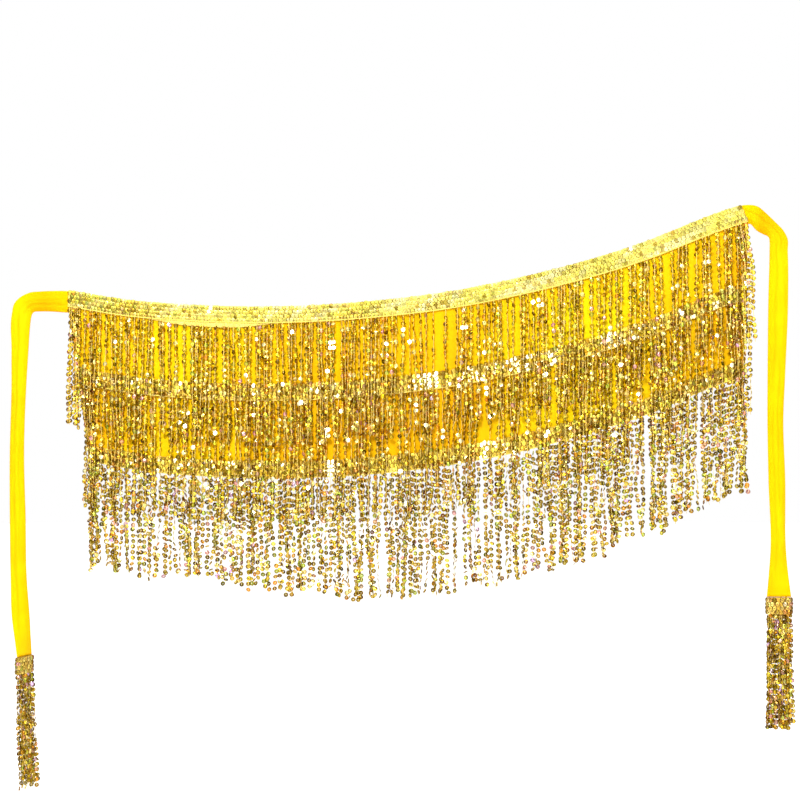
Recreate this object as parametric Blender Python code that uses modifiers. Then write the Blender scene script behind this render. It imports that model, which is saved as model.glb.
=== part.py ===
"""Belly dance hip scarf, held open by its two ends.

A ground panel of yellow stretch cloth carries three fringe trims, one below
the other. Each trim is a narrow header strip with strings of sequins hanging
from it. A long cloth tie leaves each end of the waist and falls from where a
hand would hold it, and ends in a short fringe tassel.

Frame, in metres: the origin is the grip at the right-hand end of the waist,
+X runs along the waist to the right, -Y is the sequinned front, +Z is up.
Sizes below are in millimetres.
"""

import bpy
import numpy as np

MM = 0.001

# ---- Cloth and seams --------------------------------------------------------
PANEL_THICK = 1.4
HEADER_THICK = 1.6
TIE_THICK = 2.0
SEAM_GAP = 0.35          # clear space between two pieces sewn together

# ---- Waist: the upper edge sags between the two ends ------------------------
# x along the waist, z of the upper edge
WAIST_EDGE = [
    (-862, -86),
    (-789, -98),
    (-700, -105),
    (-624, -107),
    (-504, -102),
    (-384, -88),
    (-265, -63),
    (-144, -27),
    (-54, 9),
    (-19, 21),
]
# drop below the waist edge, x of the left side, x of the right side
SIDES = [
    (0, -862, -19),
    (21, -863, -9),
    (98, -852, -11),
    (214, -836, -15),
]

# ---- The three fringe trims -------------------------------------------------
HEADER_TALL = 20
TRIM_DROPS = (0, 97, 194)        # drop of each header's upper edge
PANEL_TALL = TRIM_DROPS[2] + HEADER_TALL
STRINGS_PER_TRIM = 77
STRING_WIDE = 5.2
# x, length of a trim's strings there: the two upper trims, then the lowest
UPPER_FALL = [
    (-863, 151),
    (-9, 151),
]
LOW_FALL = [
    (-836, 133),
    (-715, 128),
    (-590, 141),
    (-480, 154),
    (-300, 157),
    (-190, 149),
    (-15, 143),
]
TRIM_FALLS = (UPPER_FALL, UPPER_FALL, LOW_FALL)
UNEVEN_ENDS = 4.0                # how far neighbouring strings differ
SWAY = 1.4                       # how far a string drifts to one side
# share of a string's length, how far it stands in front of its header there
STRING_FORWARD = [
    (0.3, 1.8),
    (0.63, 3.8),
    (1.0, 4.6),
]

# ---- Soft folds of the panel ------------------------------------------------
BOW = 12.0                       # the middle stands this far in front
# x of the fold, half its width, depth at the hem (+ is a ridge to the front)
FOLDS = [
    (-790, 46, 4.0),
    (-716, 40, -3.5),
    (-628, 52, 5.5),
    (-545, 44, -4.5),
    (-470, 38, 3.5),
    (-392, 50, -5.0),
    (-300, 46, 5.0),
    (-222, 36, -3.0),
    (-148, 44, 4.5),
    (-76, 34, -3.5),
]

# ---- Ties: where the strap's two edges lie, section by section --------------
# outer edge x, z; inner edge x, z; depth y; outer edge's y less inner edge's;
# cup: how far the middle stands in front of the edges
TIE_RIGHT = [
    (-17.6, 21.3, -7.4, -2.5, 0, 0, 0),
    (0, 20, 0, -11, -3, 2, 1.5),
    (15, 10, 10, -16, 1, 3, 3),
    (27, -1, 15, -18, 3, 4, 4),
    (35, -9, 17, -20.5, 3, 5, 5),
    (40.5, -19, 17.5, -24.5, 2, 4, 6),
    (41, -37, 17.5, -37, 1, 2, 6.5),
    (41, -99, 16, -99, 0, 0, 6.5),
    (38, -186, 15.5, -186, 2, 0, 8),
    (35.5, -249, 15, -249, 2, 3, 8.5),
    (37.5, -324, 16, -324, 0, 2, 8),
    (38, -411, 18.5, -411, -1, 0, 8),
    (42, -449, 16, -449, 0, 0, 4),
    (45, -471, 14, -471, 0, 0, 1),
]
TIE_LEFT = [
    (-863.4, -86.5, -864.4, -114, 0, 0, 0),
    (-881, -87, -881, -113, -3, -2, 2),
    (-898, -87.5, -897, -112.5, 1, -3, 3.5),
    (-912, -89, -906, -113, 3, -4, 4.5),
    (-924, -95, -909, -115.5, 4, -5, 5),
    (-931, -103, -910, -120, 3, -4, 6),
    (-933.5, -114, -910.5, -126, 2, -2, 6.5),
    (-934, -161, -912.5, -161, 0, 0, 7),
    (-934, -205, -915, -205, 0, 2, 8.5),
    (-936, -290, -917.5, -290, -1, 3, 8.5),
    (-936, -374, -916, -374, 0, 0, 8),
    (-935, -449, -915, -449, 1, -2, 8),
    (-933, -496, -912, -496, 1, -8, 6),
    (-928, -524, -911.5, -524, 0, -19, 3),
    (-924, -545, -911.5, -545, 0, -28, 0.5),
]
TIE_STEP = 14                    # length of one section
TIE_TURN_STEP = 5                # and of one where the strap turns down
TIE_TURN_ENDS = 75               # how far along the strap the turn is over
TIE_ACROSS = 5

# ---- Tassels on the ties' ends ----------------------------------------------
TASSEL_HEAD_TALL = 21
TASSEL_WIDE = 32
TASSEL_STRINGS = 9
TASSEL_FALL = 142
TASSEL_STRING_WIDE = 2.6
TASSEL_SPREAD = 1.18             # the strings' width at their ends, to the head's
TASSEL_DEPTH = 3.0               # every other string stands forward, the rest back
# share of the fall, share of the depth by which the strings have parted there
TASSEL_PARTING = [
    (0.0, 0.0),
    (0.12, 0.7),
    (0.5, 1.0),
    (1.0, 1.0),
]
# centre x, y, z of the head's upper edge, turn about +Z in degrees, sideways drift
TASSEL_RIGHT = (29.7, 0, -471.6, 0, 1)
TASSEL_LEFT = (-917.7, 0, -545.6, 66, 5)


# ---- Shape helpers ----------------------------------------------------------
def smooth(table, x, column=1):
    """Read a table at x along a cubic whose slopes are those between its rows."""
    rows = np.array(table, dtype=float)
    at, value = rows[:, 0], rows[:, column]
    slope = np.gradient(value, at)
    i = np.clip(np.searchsorted(at, x) - 1, 0, len(at) - 2)
    width = at[i + 1] - at[i]
    t = np.clip((x - at[i]) / width, 0, 1)
    start = (1 + 2 * t) * (1 - t) ** 2 * value[i] + t * (1 - t) ** 2 * width * slope[i]
    end = t * t * (3 - 2 * t) * value[i + 1] - t * t * (1 - t) * width * slope[i + 1]
    return start + end


def panel_depth(x, drop):
    """y of the panel's middle surface: a shallow bow with bell-shaped folds.

    The folds grow from nothing at the waist to their full depth at the hem,
    and both bow and folds fade out towards the two held ends.
    """
    left, right = SIDES[0][1], SIDES[0][2]
    along = np.clip((x - left) / (right - left), 0, 1)
    fade = 4 * along * (1 - along)
    grow = 0.25 + 0.75 * np.clip(drop / PANEL_TALL, 0, 1)
    folds = sum(deep * np.exp(-((x - at) / half) ** 2) for at, half, deep in FOLDS)
    return -BOW * fade - folds * grow * fade ** 0.5


def panel_points(along, drop):
    """Points of the panel's middle surface, along 0..1 from left to right."""
    drops, lefts, rights = np.array(SIDES, dtype=float).T
    left, right = np.interp(drop, drops, lefts), np.interp(drop, drops, rights)
    x = left + (right - left) * along
    waist_x = lefts[0] + (rights[0] - lefts[0]) * along
    z = smooth(WAIST_EDGE, waist_x) - drop
    return np.stack([x, panel_depth(x, drop), z], axis=-1)


def material(name, colour, roughness, metallic):
    """A Principled material in one colour."""
    made = bpy.data.materials.new(name)
    made.use_nodes = True
    shader = made.node_tree.nodes["Principled BSDF"]
    shader.inputs["Base Color"].default_value = (*colour, 1)
    shader.inputs["Roughness"].default_value = roughness
    shader.inputs["Metallic"].default_value = metallic
    return made


def cloth_wall(name, points, faces, thick, look):
    """Give an open surface its thickness, half to each side."""
    mesh = bpy.data.meshes.new(name)
    mesh.from_pydata((points * MM).tolist(), [], faces)
    mesh.materials.append(look)
    piece = bpy.data.objects.new(name, mesh)
    GROUP.objects.link(piece)
    wall = piece.modifiers.new("cloth thickness", "SOLIDIFY")
    wall.thickness = thick * MM
    wall.offset = 0
    wall.use_even_offset = True
    mesh.shade_smooth()
    return piece


def grid_faces(rows, columns):
    """Quads of a grid of points stored row by row, facing -Y when rows go down."""
    corner = (np.arange(rows - 1)[:, None] * columns + np.arange(columns - 1)).ravel()
    quads = [corner, corner + columns, corner + columns + 1, corner + 1]
    return np.stack(quads, axis=1).tolist()


# ---- Ground panel -----------------------------------------------------------
def ground_panel(look):
    """The yellow cloth that every trim is sewn to, from the waist to the hem."""
    top, second, low = TRIM_DROPS
    drops = np.array([
        top, top + HEADER_TALL, (HEADER_TALL + second) / 2,
        second, second + HEADER_TALL, (second + HEADER_TALL + low) / 2,
        low, PANEL_TALL,
    ])
    along = np.linspace(0, 1, STRINGS_PER_TRIM + 1)
    points = panel_points(along[None, :], drops[:, None])
    faces = grid_faces(len(drops), len(along))
    return cloth_wall("ground_panel", points.reshape(-1, 3), faces, PANEL_THICK, look)


# ---- Fringe trims -----------------------------------------------------------
def comb_faces(strings, steps):
    """Quads of a header strip and the strings below it, as one surface.

    The points are the header's upper row and lower row, each with the two
    edges of every string in turn, and then the strings' own rows, top to end.
    """
    row = 2 * strings
    faces = grid_faces(2, row)
    left = np.arange(strings) * 2
    for step in range(steps):
        upper = row * (step + 1) + left
        lower = upper + row
        faces += np.stack([upper, lower, lower + 1, upper + 1], axis=1).tolist()
    return faces


def between_panel_lines(along):
    """Where a point along the panel lies: the line before it and the share on."""
    place = np.clip(along * STRINGS_PER_TRIM, 0, STRINGS_PER_TRIM)
    line = np.minimum(place.astype(int), STRINGS_PER_TRIM - 1)
    return line, place - line


def header_points(along, drop):
    """Points of the panel's own facets, moved out to where a header strip lies."""
    line, share = between_panel_lines(along)
    before = panel_points(line / STRINGS_PER_TRIM, drop)
    after = panel_points((line + 1) / STRINGS_PER_TRIM, drop)
    points = before + (after - before) * share[:, None]
    points[:, 1] -= PANEL_THICK / 2 + SEAM_GAP + HEADER_THICK / 2
    return points


def fringe_trim(name, drop, fall_table, look):
    """A header strip on the panel, with its strings hanging straight down."""
    half = STRING_WIDE / 2 / (SIDES[0][2] - SIDES[0][1])
    middle = np.linspace(half, 1 - half, STRINGS_PER_TRIM)
    along = np.stack([middle - half, middle + half], axis=1).ravel()
    upper = header_points(along, drop)
    lower = header_points(along, drop + HEADER_TALL)
    root_depth = panel_depth(lower[:, 0], drop + HEADER_TALL)
    waist = smooth(WAIST_EDGE, lower[:, 0])
    number = np.repeat(np.arange(STRINGS_PER_TRIM), 2)
    uneven = UNEVEN_ENDS * np.sin(number * 2.4) * np.cos(number * 0.7)
    fall = smooth(fall_table, lower[:, 0]) + uneven
    rows = [upper, lower]
    for share, forward in STRING_FORWARD:
        points = lower.copy()
        points[:, 0] += SWAY * np.sin(number * 1.9) * share ** 2
        points[:, 2] -= fall * share
        behind = panel_depth(points[:, 0], np.minimum(waist - points[:, 2], PANEL_TALL))
        points[:, 1] += behind - root_depth - forward
        rows.append(points)
    faces = comb_faces(STRINGS_PER_TRIM, len(STRING_FORWARD))
    return cloth_wall(name, np.concatenate(rows), faces, HEADER_THICK, look)


# ---- Ties -------------------------------------------------------------------
def tie(name, table, look):
    """A strap lofted between its two edges, cupped softly along its length."""
    rows = np.array(table, dtype=float)
    middle = (rows[:, 0:2] + rows[:, 2:4]) / 2
    walked = np.concatenate([[0], np.cumsum(np.hypot(*np.diff(middle, axis=0).T))])
    turn = np.arange(0, TIE_TURN_ENDS, TIE_TURN_STEP)
    sections = round((walked[-1] - TIE_TURN_ENDS) / TIE_STEP)
    at = np.concatenate([turn, np.linspace(TIE_TURN_ENDS, walked[-1], sections + 1)])
    columns = [smooth(np.column_stack([walked, values]), at)[:, None] for values in rows.T]
    outer_x, outer_z, inner_x, inner_z, depth, lean, cup = columns
    across = np.linspace(0, 1, TIE_ACROSS + 1)[None, :]
    x = outer_x + (inner_x - outer_x) * across
    y = depth + lean * (0.5 - across) - cup * np.sin(np.pi * across)
    z = outer_z + (inner_z - outer_z) * across
    points = np.stack([x, y, z], axis=-1)
    faces = grid_faces(*points.shape[:2])
    return cloth_wall(name, points.reshape(-1, 3), faces, TIE_THICK, look)


# ---- Tassels ----------------------------------------------------------------
def tassel(name, place, look):
    """A sequinned head across the tie's end, with a row of strings below it."""
    x, y, z, turn, drift = place
    heading = np.radians(turn)
    number = np.repeat(np.arange(TASSEL_STRINGS), 2)
    outermost = (TASSEL_WIDE - TASSEL_STRING_WIDE) / 2
    middle = np.repeat(np.linspace(-outermost, outermost, TASSEL_STRINGS), 2)
    edge = np.tile([-0.5, 0.5], TASSEL_STRINGS) * TASSEL_STRING_WIDE
    to_the_back = np.where(number % 2 == 0, -1, 1) * TASSEL_DEPTH
    fall = TASSEL_FALL + UNEVEN_ENDS * np.sin(number * 2.4)

    def row(share, parting, down):
        """The two edges of every string, a share of the way down its fall."""
        across = middle * (1 + (TASSEL_SPREAD - 1) * share) + edge
        back = to_the_back * parting
        return np.stack([
            x + across * np.cos(heading) - back * np.sin(heading) + drift * share,
            y + across * np.sin(heading) + back * np.cos(heading),
            z - down,
        ], axis=1)

    rows = [row(0, 0, np.zeros(len(number)))]
    rows += [row(share, part, TASSEL_HEAD_TALL + fall * share) for share, part in TASSEL_PARTING]
    faces = comb_faces(TASSEL_STRINGS, len(TASSEL_PARTING) - 1)
    return cloth_wall(name, np.concatenate(rows), faces, HEADER_THICK, look)


# ---- Build ------------------------------------------------------------------
for leftover in list(bpy.data.objects):
    bpy.data.objects.remove(leftover, do_unlink=True)

GROUP = bpy.data.collections.new("belly_dance_hip_scarf")
bpy.context.scene.collection.children.link(GROUP)

yellow_cloth = material("yellow_stretch_cloth", (0.92, 0.70, 0.02), 0.75, 0.0)
tie_cloth = material("yellow_tie_cloth", (0.95, 0.76, 0.02), 0.7, 0.0)
gold_sequins = material("gold_sequins", (0.72, 0.55, 0.12), 0.3, 0.85)

ground_panel(yellow_cloth)
for tier, (trim_drop, fall_table) in enumerate(zip(TRIM_DROPS, TRIM_FALLS), start=1):
    fringe_trim(f"fringe_tier_{tier}", trim_drop, fall_table, gold_sequins)
tie("tie_left", TIE_LEFT, tie_cloth)
tie("tie_right", TIE_RIGHT, tie_cloth)
tassel("tassel_left", TASSEL_LEFT, gold_sequins)
tassel("tassel_right", TASSEL_RIGHT, gold_sequins)
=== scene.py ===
# %% [markdown]
# # A belly dance hip scarf
#
# A hip scarf is a band of stretch cloth with rows of sequin fringe sewn across
# it and a long tie at each end. Two hands hold this one open by its ends, so
# the waist sags between them, and the fringe, the ties and their tassels hang
# straight down. Every piece below is a surface worked out as a whole array of
# points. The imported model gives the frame, and each piece lies where its plain
# solid lies.

# %% Load the frame
from types import SimpleNamespace
import bpy
import numpy as np
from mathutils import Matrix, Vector


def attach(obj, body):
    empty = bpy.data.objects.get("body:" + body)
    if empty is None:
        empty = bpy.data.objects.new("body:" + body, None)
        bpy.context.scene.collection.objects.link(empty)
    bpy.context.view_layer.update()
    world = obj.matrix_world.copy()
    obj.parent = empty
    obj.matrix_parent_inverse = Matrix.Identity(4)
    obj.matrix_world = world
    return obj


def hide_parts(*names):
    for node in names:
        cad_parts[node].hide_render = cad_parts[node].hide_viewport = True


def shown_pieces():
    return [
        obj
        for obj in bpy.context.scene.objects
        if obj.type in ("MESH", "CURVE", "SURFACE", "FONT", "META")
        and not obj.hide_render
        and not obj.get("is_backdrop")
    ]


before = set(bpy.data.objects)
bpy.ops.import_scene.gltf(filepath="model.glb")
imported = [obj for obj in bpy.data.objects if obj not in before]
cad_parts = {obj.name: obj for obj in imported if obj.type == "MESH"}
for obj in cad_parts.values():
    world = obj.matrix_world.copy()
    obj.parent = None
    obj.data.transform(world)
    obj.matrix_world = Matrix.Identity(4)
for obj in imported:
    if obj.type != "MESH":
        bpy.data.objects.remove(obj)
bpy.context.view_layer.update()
MM = 0.001

# %% [markdown]
# ## The sizes that all pieces share
#
# All sizes are in millimetres. The waist line is read as a smooth curve through
# a few places, because cloth held by its ends hangs in one even bow. A "drop"
# is how far a point of the panel lies straight below the waist line.

# %% The waist, the sides and the trims
WAIST_EDGE = [      # x along the waist, z of the upper edge
    (-862, -86), (-789, -98), (-700, -105), (-624, -107), (-504, -102),
    (-384, -88), (-265, -63), (-144, -27), (-54, 9), (-19, 21),
]
SIDES = [           # drop, x of the left side, x of the right side
    (0, -862, -19), (21, -863, -9), (98, -852, -11), (214, -836, -15),
]
HEADER_TALL = 20    # the band of each trim
TRIM_DROPS = (0, 97, 194)       # drops of the three bands' upper edges
PANEL_TALL = TRIM_DROPS[2] + HEADER_TALL
BOW = 12            # the middle of the panel stands this far in front
FOLDS = [           # x of the fold, half its width, depth (+ is a ridge to the front)
    (-790, 46, 4.0), (-716, 40, -3.5), (-628, 52, 5.5), (-545, 44, -4.5), (-470, 38, 3.5),
    (-392, 50, -5.0), (-300, 46, 5.0), (-222, 36, -3.0), (-148, 44, 4.5), (-76, 34, -3.5),
]
FOLD_AT_WAIST = 0.25    # share of a fold's depth that is there at the waist already


def smooth(table, x, column=1):
    """Read a table at x along a cubic whose slopes are those between its rows."""
    rows = np.array(table, dtype=float)
    at, value = rows[:, 0], rows[:, column]
    slope = np.gradient(value, at)
    i = np.clip(np.searchsorted(at, x) - 1, 0, len(at) - 2)
    width = at[i + 1] - at[i]
    t = np.clip((x - at[i]) / width, 0, 1)
    start = (1 + 2 * t) * (1 - t) ** 2 * value[i] + t * (1 - t) ** 2 * width * slope[i]
    end = t * t * (3 - 2 * t) * value[i + 1] - t * t * (1 - t) * width * slope[i + 1]
    return start + end


def soft_step(low, high, x):
    """0 below low, 1 above high, and 3t^2 - 2t^3 between them."""
    t = np.clip((x - low) / (high - low), 0, 1)
    return t * t * (3 - 2 * t)


def panel_depth(x, drop):
    """y of the panel's middle: a bow, 4a(1 - a), and bell-shaped folds that grow with the drop."""
    left, right = SIDES[0][1], SIDES[0][2]
    along = np.clip((x - left) / (right - left), 0, 1)
    fade = 4 * along * (1 - along)
    grow = FOLD_AT_WAIST + (1 - FOLD_AT_WAIST) * np.clip(drop / PANEL_TALL, 0, 1)
    folds = sum(deep * np.exp(-((x - at) / half) ** 2) for at, half, deep in FOLDS)
    return -BOW * fade - folds * grow * fade ** 0.5


def panel_points(along, drop):
    """Points of the panel's middle surface, along 0..1 from the left side to the right."""
    drops, lefts, rights = np.array(SIDES, dtype=float).T
    left, right = np.interp(drop, drops, lefts), np.interp(drop, drops, rights)
    x = left + (right - left) * along
    waist_x = lefts[0] + (rights[0] - lefts[0]) * along
    z = smooth(WAIST_EDGE, waist_x) - drop
    return np.stack([x, panel_depth(x, drop), z], axis=-1)


waist_line = panel_points(np.linspace(0, 1, 400), np.zeros(400))
waist_length = np.linalg.norm(np.diff(waist_line, axis=0), axis=1).sum()
print(f"the waist line is {waist_length:.0f} mm long and the panel {PANEL_TALL} mm tall")

# %% [markdown]
# ## Turning arrays into meshes
#
# A cloth piece could be an open grid with a Solidify modifier, but then its
# edges would be square. Here the front and the back are two grids that share
# their outermost points, so the edge closes in a soft wedge, as a folded or
# overlocked edge does. The UV map is the cloth laid flat, in metres, so that a
# knit keeps its size and follows the cloth.

# %% Cloth from a grid of points
ROOT = "root"


def unit(vectors):
    """Each vector divided by its own length."""
    return vectors / np.maximum(np.linalg.norm(vectors, axis=-1, keepdims=True), 1e-9)


def new_piece(name, points, faces, look):
    """A mesh object from points in millimetres, which rides on the body."""
    mesh = bpy.data.meshes.new(name)
    mesh.from_pydata((points * MM).astype(np.float32), [], faces)
    mesh.materials.append(look)
    piece = bpy.data.objects.new(name, mesh)
    bpy.context.scene.collection.objects.link(piece)
    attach(piece, ROOT)
    return piece


def grid_quads(rows, columns, wrap=False):
    """Quads between the points of a grid; wrap joins the last column to the first."""
    r = np.arange(rows - 1)[:, None]
    c = np.arange(columns if wrap else columns - 1)[None, :]
    after = (c + 1) % columns
    corners = [r * columns + c, (r + 1) * columns + c, (r + 1) * columns + after, r * columns + after]
    return np.stack([corner.ravel() for corner in corners], axis=1)


def set_uv(mesh, uv_at_point):
    """Give each face corner the UV of its point."""
    corner_point = np.empty(len(mesh.loops), dtype=np.int32)
    mesh.loops.foreach_get("vertex_index", corner_point)
    layer = mesh.uv_layers.new(name="cloth")
    layer.data.foreach_set("uv", uv_at_point[corner_point].astype(np.float32).ravel())


def set_shade(mesh, value_at_point, name="shade"):
    """Store one number from 0 to 1 at each point, for a material to read."""
    attribute = mesh.attributes.new(name, "FLOAT", "POINT")
    attribute.data.foreach_set("value", np.asarray(value_at_point, dtype=np.float32).ravel())


def cloth_shell(name, points, thick, uv, look, shade=None, back_shade=None):
    """A closed sheet on a grid of middle points.

    Front and back are the grid moved half the thickness to either side along
    its normals. Both use the same outermost points, so the rim is closed. The
    back has the front's shade unless it is given its own.
    """
    rows, columns = points.shape[:2]
    down, right = np.gradient(points, axis=0), np.gradient(points, axis=1)
    normal = unit(np.cross(down, right))
    front = points + normal * thick / 2
    back = points - normal * thick / 2
    rim = np.ones((rows, columns), dtype=bool)
    rim[1:-1, 1:-1] = False
    front[rim] = points[rim]
    index = np.arange(rows * columns).reshape(rows, columns)
    back_index = index.copy()
    back_index[~rim] = rows * columns + np.arange((~rim).sum())
    quads = grid_quads(rows, columns)
    back_quads = back_index.ravel()[quads][:, ::-1]
    together = np.concatenate([front.reshape(-1, 3), back[~rim]])
    piece = new_piece(name, together, np.concatenate([quads, back_quads]), look)
    flat = uv.reshape(-1, 2)
    set_uv(piece.data, np.concatenate([flat, flat[~rim.ravel()]]) * MM)
    if shade is not None:
        behind = shade if back_shade is None else back_shade
        set_shade(piece.data, np.concatenate([shade.ravel(), behind[~rim]]))
    piece.data.shade_smooth()
    return piece


def edged(start, end, count, edge):
    """Even steps from start to end, with one more line just inside each end."""
    sign = np.sign(end - start)
    inner = np.linspace(start + sign * edge, end - sign * edge, count)
    return np.concatenate([[start], inner, [end]])


print("a grid of 3 x 4 points has", len(grid_quads(3, 4)), "quads")

# %% [markdown]
# ## Yellow stretch knit
#
# The panel and the ties are a thin warp knit: rows of tiny stitches, called
# wales, with a soft sheen. An image texture could show that, but two wave
# patterns on the cloth's own UV map do it at true size and never blur. Light
# that goes through one layer of yellow cloth and back turns orange, so the
# colour moves towards orange where a "shade" attribute says the cloth is
# doubled, tucked or pinched. That attribute also holds painted shade: below
# the tapes, along the panel, and at the ties' grips and troughs. The gaps
# between the stitches get a little painted shade as well.

# %% Small helpers for node materials
def plug(tree, node, inputs):
    """Link each input of a node to a socket, or set it to a plain value."""
    for name, value in inputs.items():
        if isinstance(value, bpy.types.NodeSocket):
            tree.links.new(value, node.inputs[name])
        else:
            node.inputs[name].default_value = value


def add_node(tree, kind, inputs=None, **settings):
    """A new shader node with its settings and its inputs."""
    node = tree.nodes.new("ShaderNode" + kind)
    for name, value in settings.items():
        setattr(node, name, value)
    plug(tree, node, inputs or {})
    return node


def new_look(name):
    """A material, its node tree, and its Principled shader with nothing linked to it yet."""
    look = bpy.data.materials.new(name)
    look.use_nodes = True
    return look, look.node_tree, look.node_tree.nodes["Principled BSDF"]


def place_on(tree):
    """Where on the object a point lies, in metres."""
    return add_node(tree, "TexCoord").outputs["Object"]


def stored(tree, name, output="Fac"):
    """What the mesh keeps at each point under this name."""
    return add_node(tree, "Attribute", attribute_name=name).outputs[output]


def mixed_colour(tree, share, first, second):
    """A colour that goes from first to second as share goes from 0 to 1."""
    return add_node(tree, "Mix", {0: share, 6: first, 7: second}, data_type="RGBA").outputs[2]


def in_range(tree, value, low, high, to_low=0.0, to_high=1.0):
    """value, mapped from low..high to to_low..to_high and held there."""
    inputs = {"Value": value, "From Min": low, "From Max": high, "To Min": to_low, "To Max": to_high}
    return add_node(tree, "MapRange", inputs).outputs["Result"]


def noise_on(tree, place, scale, detail=2.0):
    """Soft noise whose blobs are 1 / scale metres wide."""
    return add_node(tree, "TexNoise", {"Vector": place, "Scale": scale, "Detail": detail}).outputs["Fac"]


def relief(tree, height, strength, distance):
    """A normal bumped by a height from 0 to 1, which stands for a distance in metres."""
    inputs = {"Height": height, "Strength": strength, "Distance": distance}
    return add_node(tree, "Bump", inputs).outputs["Normal"]


def linear(red, green, blue):
    """A colour given as 0..255 screen values, as the linear colour that shaders use."""
    screen = np.array([red, green, blue]) / 255
    return (*np.where(screen <= 0.04045, screen / 12.92, ((screen + 0.055) / 1.055) ** 2.4), 1.0)


print("middle grey on screen is", np.round(linear(128, 128, 128)[:3], 2).tolist(), "in linear light")

# %% The knit
WALE = 0.0011       # metres from one wale to the next
COURSE = 0.0008     # metres from one row of stitches to the next
BANDS_APART = 0.314     # metres between the bands of a wave texture whose scale is 1


def stripes(tree, place, direction, spacing):
    """A slightly wavering sine wave across the cloth, one wave for each spacing."""
    inputs = {"Vector": place, "Scale": BANDS_APART / spacing, "Distortion": 0.6, "Detail Scale": 0.4}
    return add_node(tree, "TexWave", inputs, bands_direction=direction).outputs["Fac"]


def knit(name, lit, doubled_and_shaded, sheen):
    """Thin stretch knit: wales and courses in relief, mottled colour, painted shade in the stitch gaps,
    and orange where doubled and where shade is painted.
    """
    look, tree, shader = new_look(name)
    cloth = add_node(tree, "UVMap", uv_map="cloth").outputs["UV"]
    where = place_on(tree)
    wales, courses = stripes(tree, cloth, "X", WALE), stripes(tree, cloth, "Y", COURSE)
    stitch = add_node(tree, "Math", {0: wales, 1: courses}, operation="MULTIPLY").outputs[0]
    # the shade attribute is painted shade and doubled cloth, both as orange
    base = mixed_colour(tree, stored(tree, "shade"), lit, doubled_and_shaded)
    mottle = in_range(tree, noise_on(tree, where, 28, 4), 0.35, 0.75, 0.0, 0.35)
    base = mixed_colour(tree, mottle, base, doubled_and_shaded)
    # painted shade in the gaps between the stitches
    gap = in_range(tree, stitch, 0.0, 0.35, 0.22, 0.0)
    plug(tree, shader, {
        "Base Color": mixed_colour(tree, gap, base, linear(205, 140, 0)),
        "Roughness": in_range(tree, noise_on(tree, where, 260, 3), 0.3, 0.7, 0.55, 0.78),
        "Normal": relief(tree, stitch, 0.5, 0.00012),
        "Sheen Weight": sheen,
        "Sheen Roughness": 0.45,
        "Sheen Tint": linear(255, 214, 40),
        "Specular IOR Level": 0.12,
        "Specular Tint": linear(255, 226, 90),
        "Subsurface Weight": 0.15,
        "Subsurface Radius": (1.0, 0.45, 0.02),
        "Subsurface Scale": 0.004,
    })
    return look


panel_knit = knit("panel_stretch_knit", linear(236, 214, 16), linear(226, 158, 10), 0.08)
tie_knit = knit("tie_brushed_knit", linear(252, 204, 4), linear(248, 160, 3), 0.12)
print(f"one stitch of the knit is {WALE * 1000:.1f} x {COURSE * 1000:.1f} mm")

# %% [markdown]
# ## The ground panel
#
# One shallow arc of knit, cut to the sag of the waist. It hangs in ten broad
# folds, and between the trims, where nothing stiffens it, in smaller slanting
# creases. Cloth simulation would drape it too, but the trims pin it along three
# lines, and creases given one by one stay where the trims leave room for them.

# %% Creases between the trims
CREASES = [         # x and drop where it starts, x and drop where it ends, half width, depth
    (-842, 30, -826, 92, 9, 1.4), (-806, 26, -812, 84, 7, -2.3), (-748, 34, -742, 96, 12, 1.6),
    (-668, 24, -684, 90, 8, -2.8), (-604, 40, -596, 96, 10, 1.5), (-574, 26, -566, 72, 6, -1.9),
    (-508, 30, -520, 94, 11, 1.8), (-436, 24, -430, 88, 8, -2.5), (-358, 36, -372, 96, 13, 1.5),
    (-338, 26, -330, 68, 6, -2.1), (-262, 28, -252, 92, 9, 1.6), (-186, 24, -194, 86, 8, -2.7),
    (-112, 34, -104, 94, 10, 1.5), (-52, 26, -46, 80, 7, -2.3), (-818, 124, -808, 188, 10, -2.3),
    (-760, 128, -768, 182, 7, 1.4), (-694, 122, -700, 190, 12, 1.8), (-640, 130, -634, 184, 7, -2.1),
    (-570, 124, -580, 190, 10, 1.6), (-494, 126, -486, 178, 8, -2.7), (-420, 122, -424, 190, 12, 1.5),
    (-346, 132, -356, 186, 7, -1.9), (-276, 124, -268, 190, 11, 1.6), (-206, 126, -212, 180, 8, -2.5),
    (-130, 122, -122, 188, 10, 1.5), (-68, 128, -74, 184, 7, -2.1),
]
CREASE_FADE = 16    # a crease runs out over this much drop at either end


def crease_depth(x, drop):
    """Creases to add to the panel's depth: bells across a slanting line, faded at its ends."""
    depth = np.zeros(np.broadcast(x, drop).shape)
    for x_start, top, x_end, low, half, deep in CREASES:
        line = x_start + (x_end - x_start) * (drop - top) / (low - top)
        window = soft_step(top - CREASE_FADE, top + CREASE_FADE, drop)
        window = window * (1 - soft_step(low - CREASE_FADE, low + CREASE_FADE, drop))
        depth += deep * np.exp(-((x - line) / half) ** 2) * window
    return depth


print("creases between the trims:", len(CREASES))

# %% Panel cloth
PANEL_THICK = 0.8
PANEL_TONES = [     # x, how far painted shade turns the cloth's colour towards orange there
    (-862, 0.50), (-810, 0.42), (-760, 0.20), (-725, 0.20), (-660, 0.32), (-600, 0.48), (-420, 0.54),
    (-350, 0.50), (-310, 0.30), (-250, 0.08), (-180, 0.06), (-140, 0.32), (-70, 0.42), (-15, 0.60),
]
TAPE_SHADE = 0.45   # painted shade: how far it goes where a tape shades the front or doubles the back
SHADE_BELOW = 3     # the middle of that shade lies this far below a tape
SHADE_REACH = 13    # and it fades over this much to either side
LOWER_WARMTH = 0.12     # below the second trim the panel is this much more orange

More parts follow.
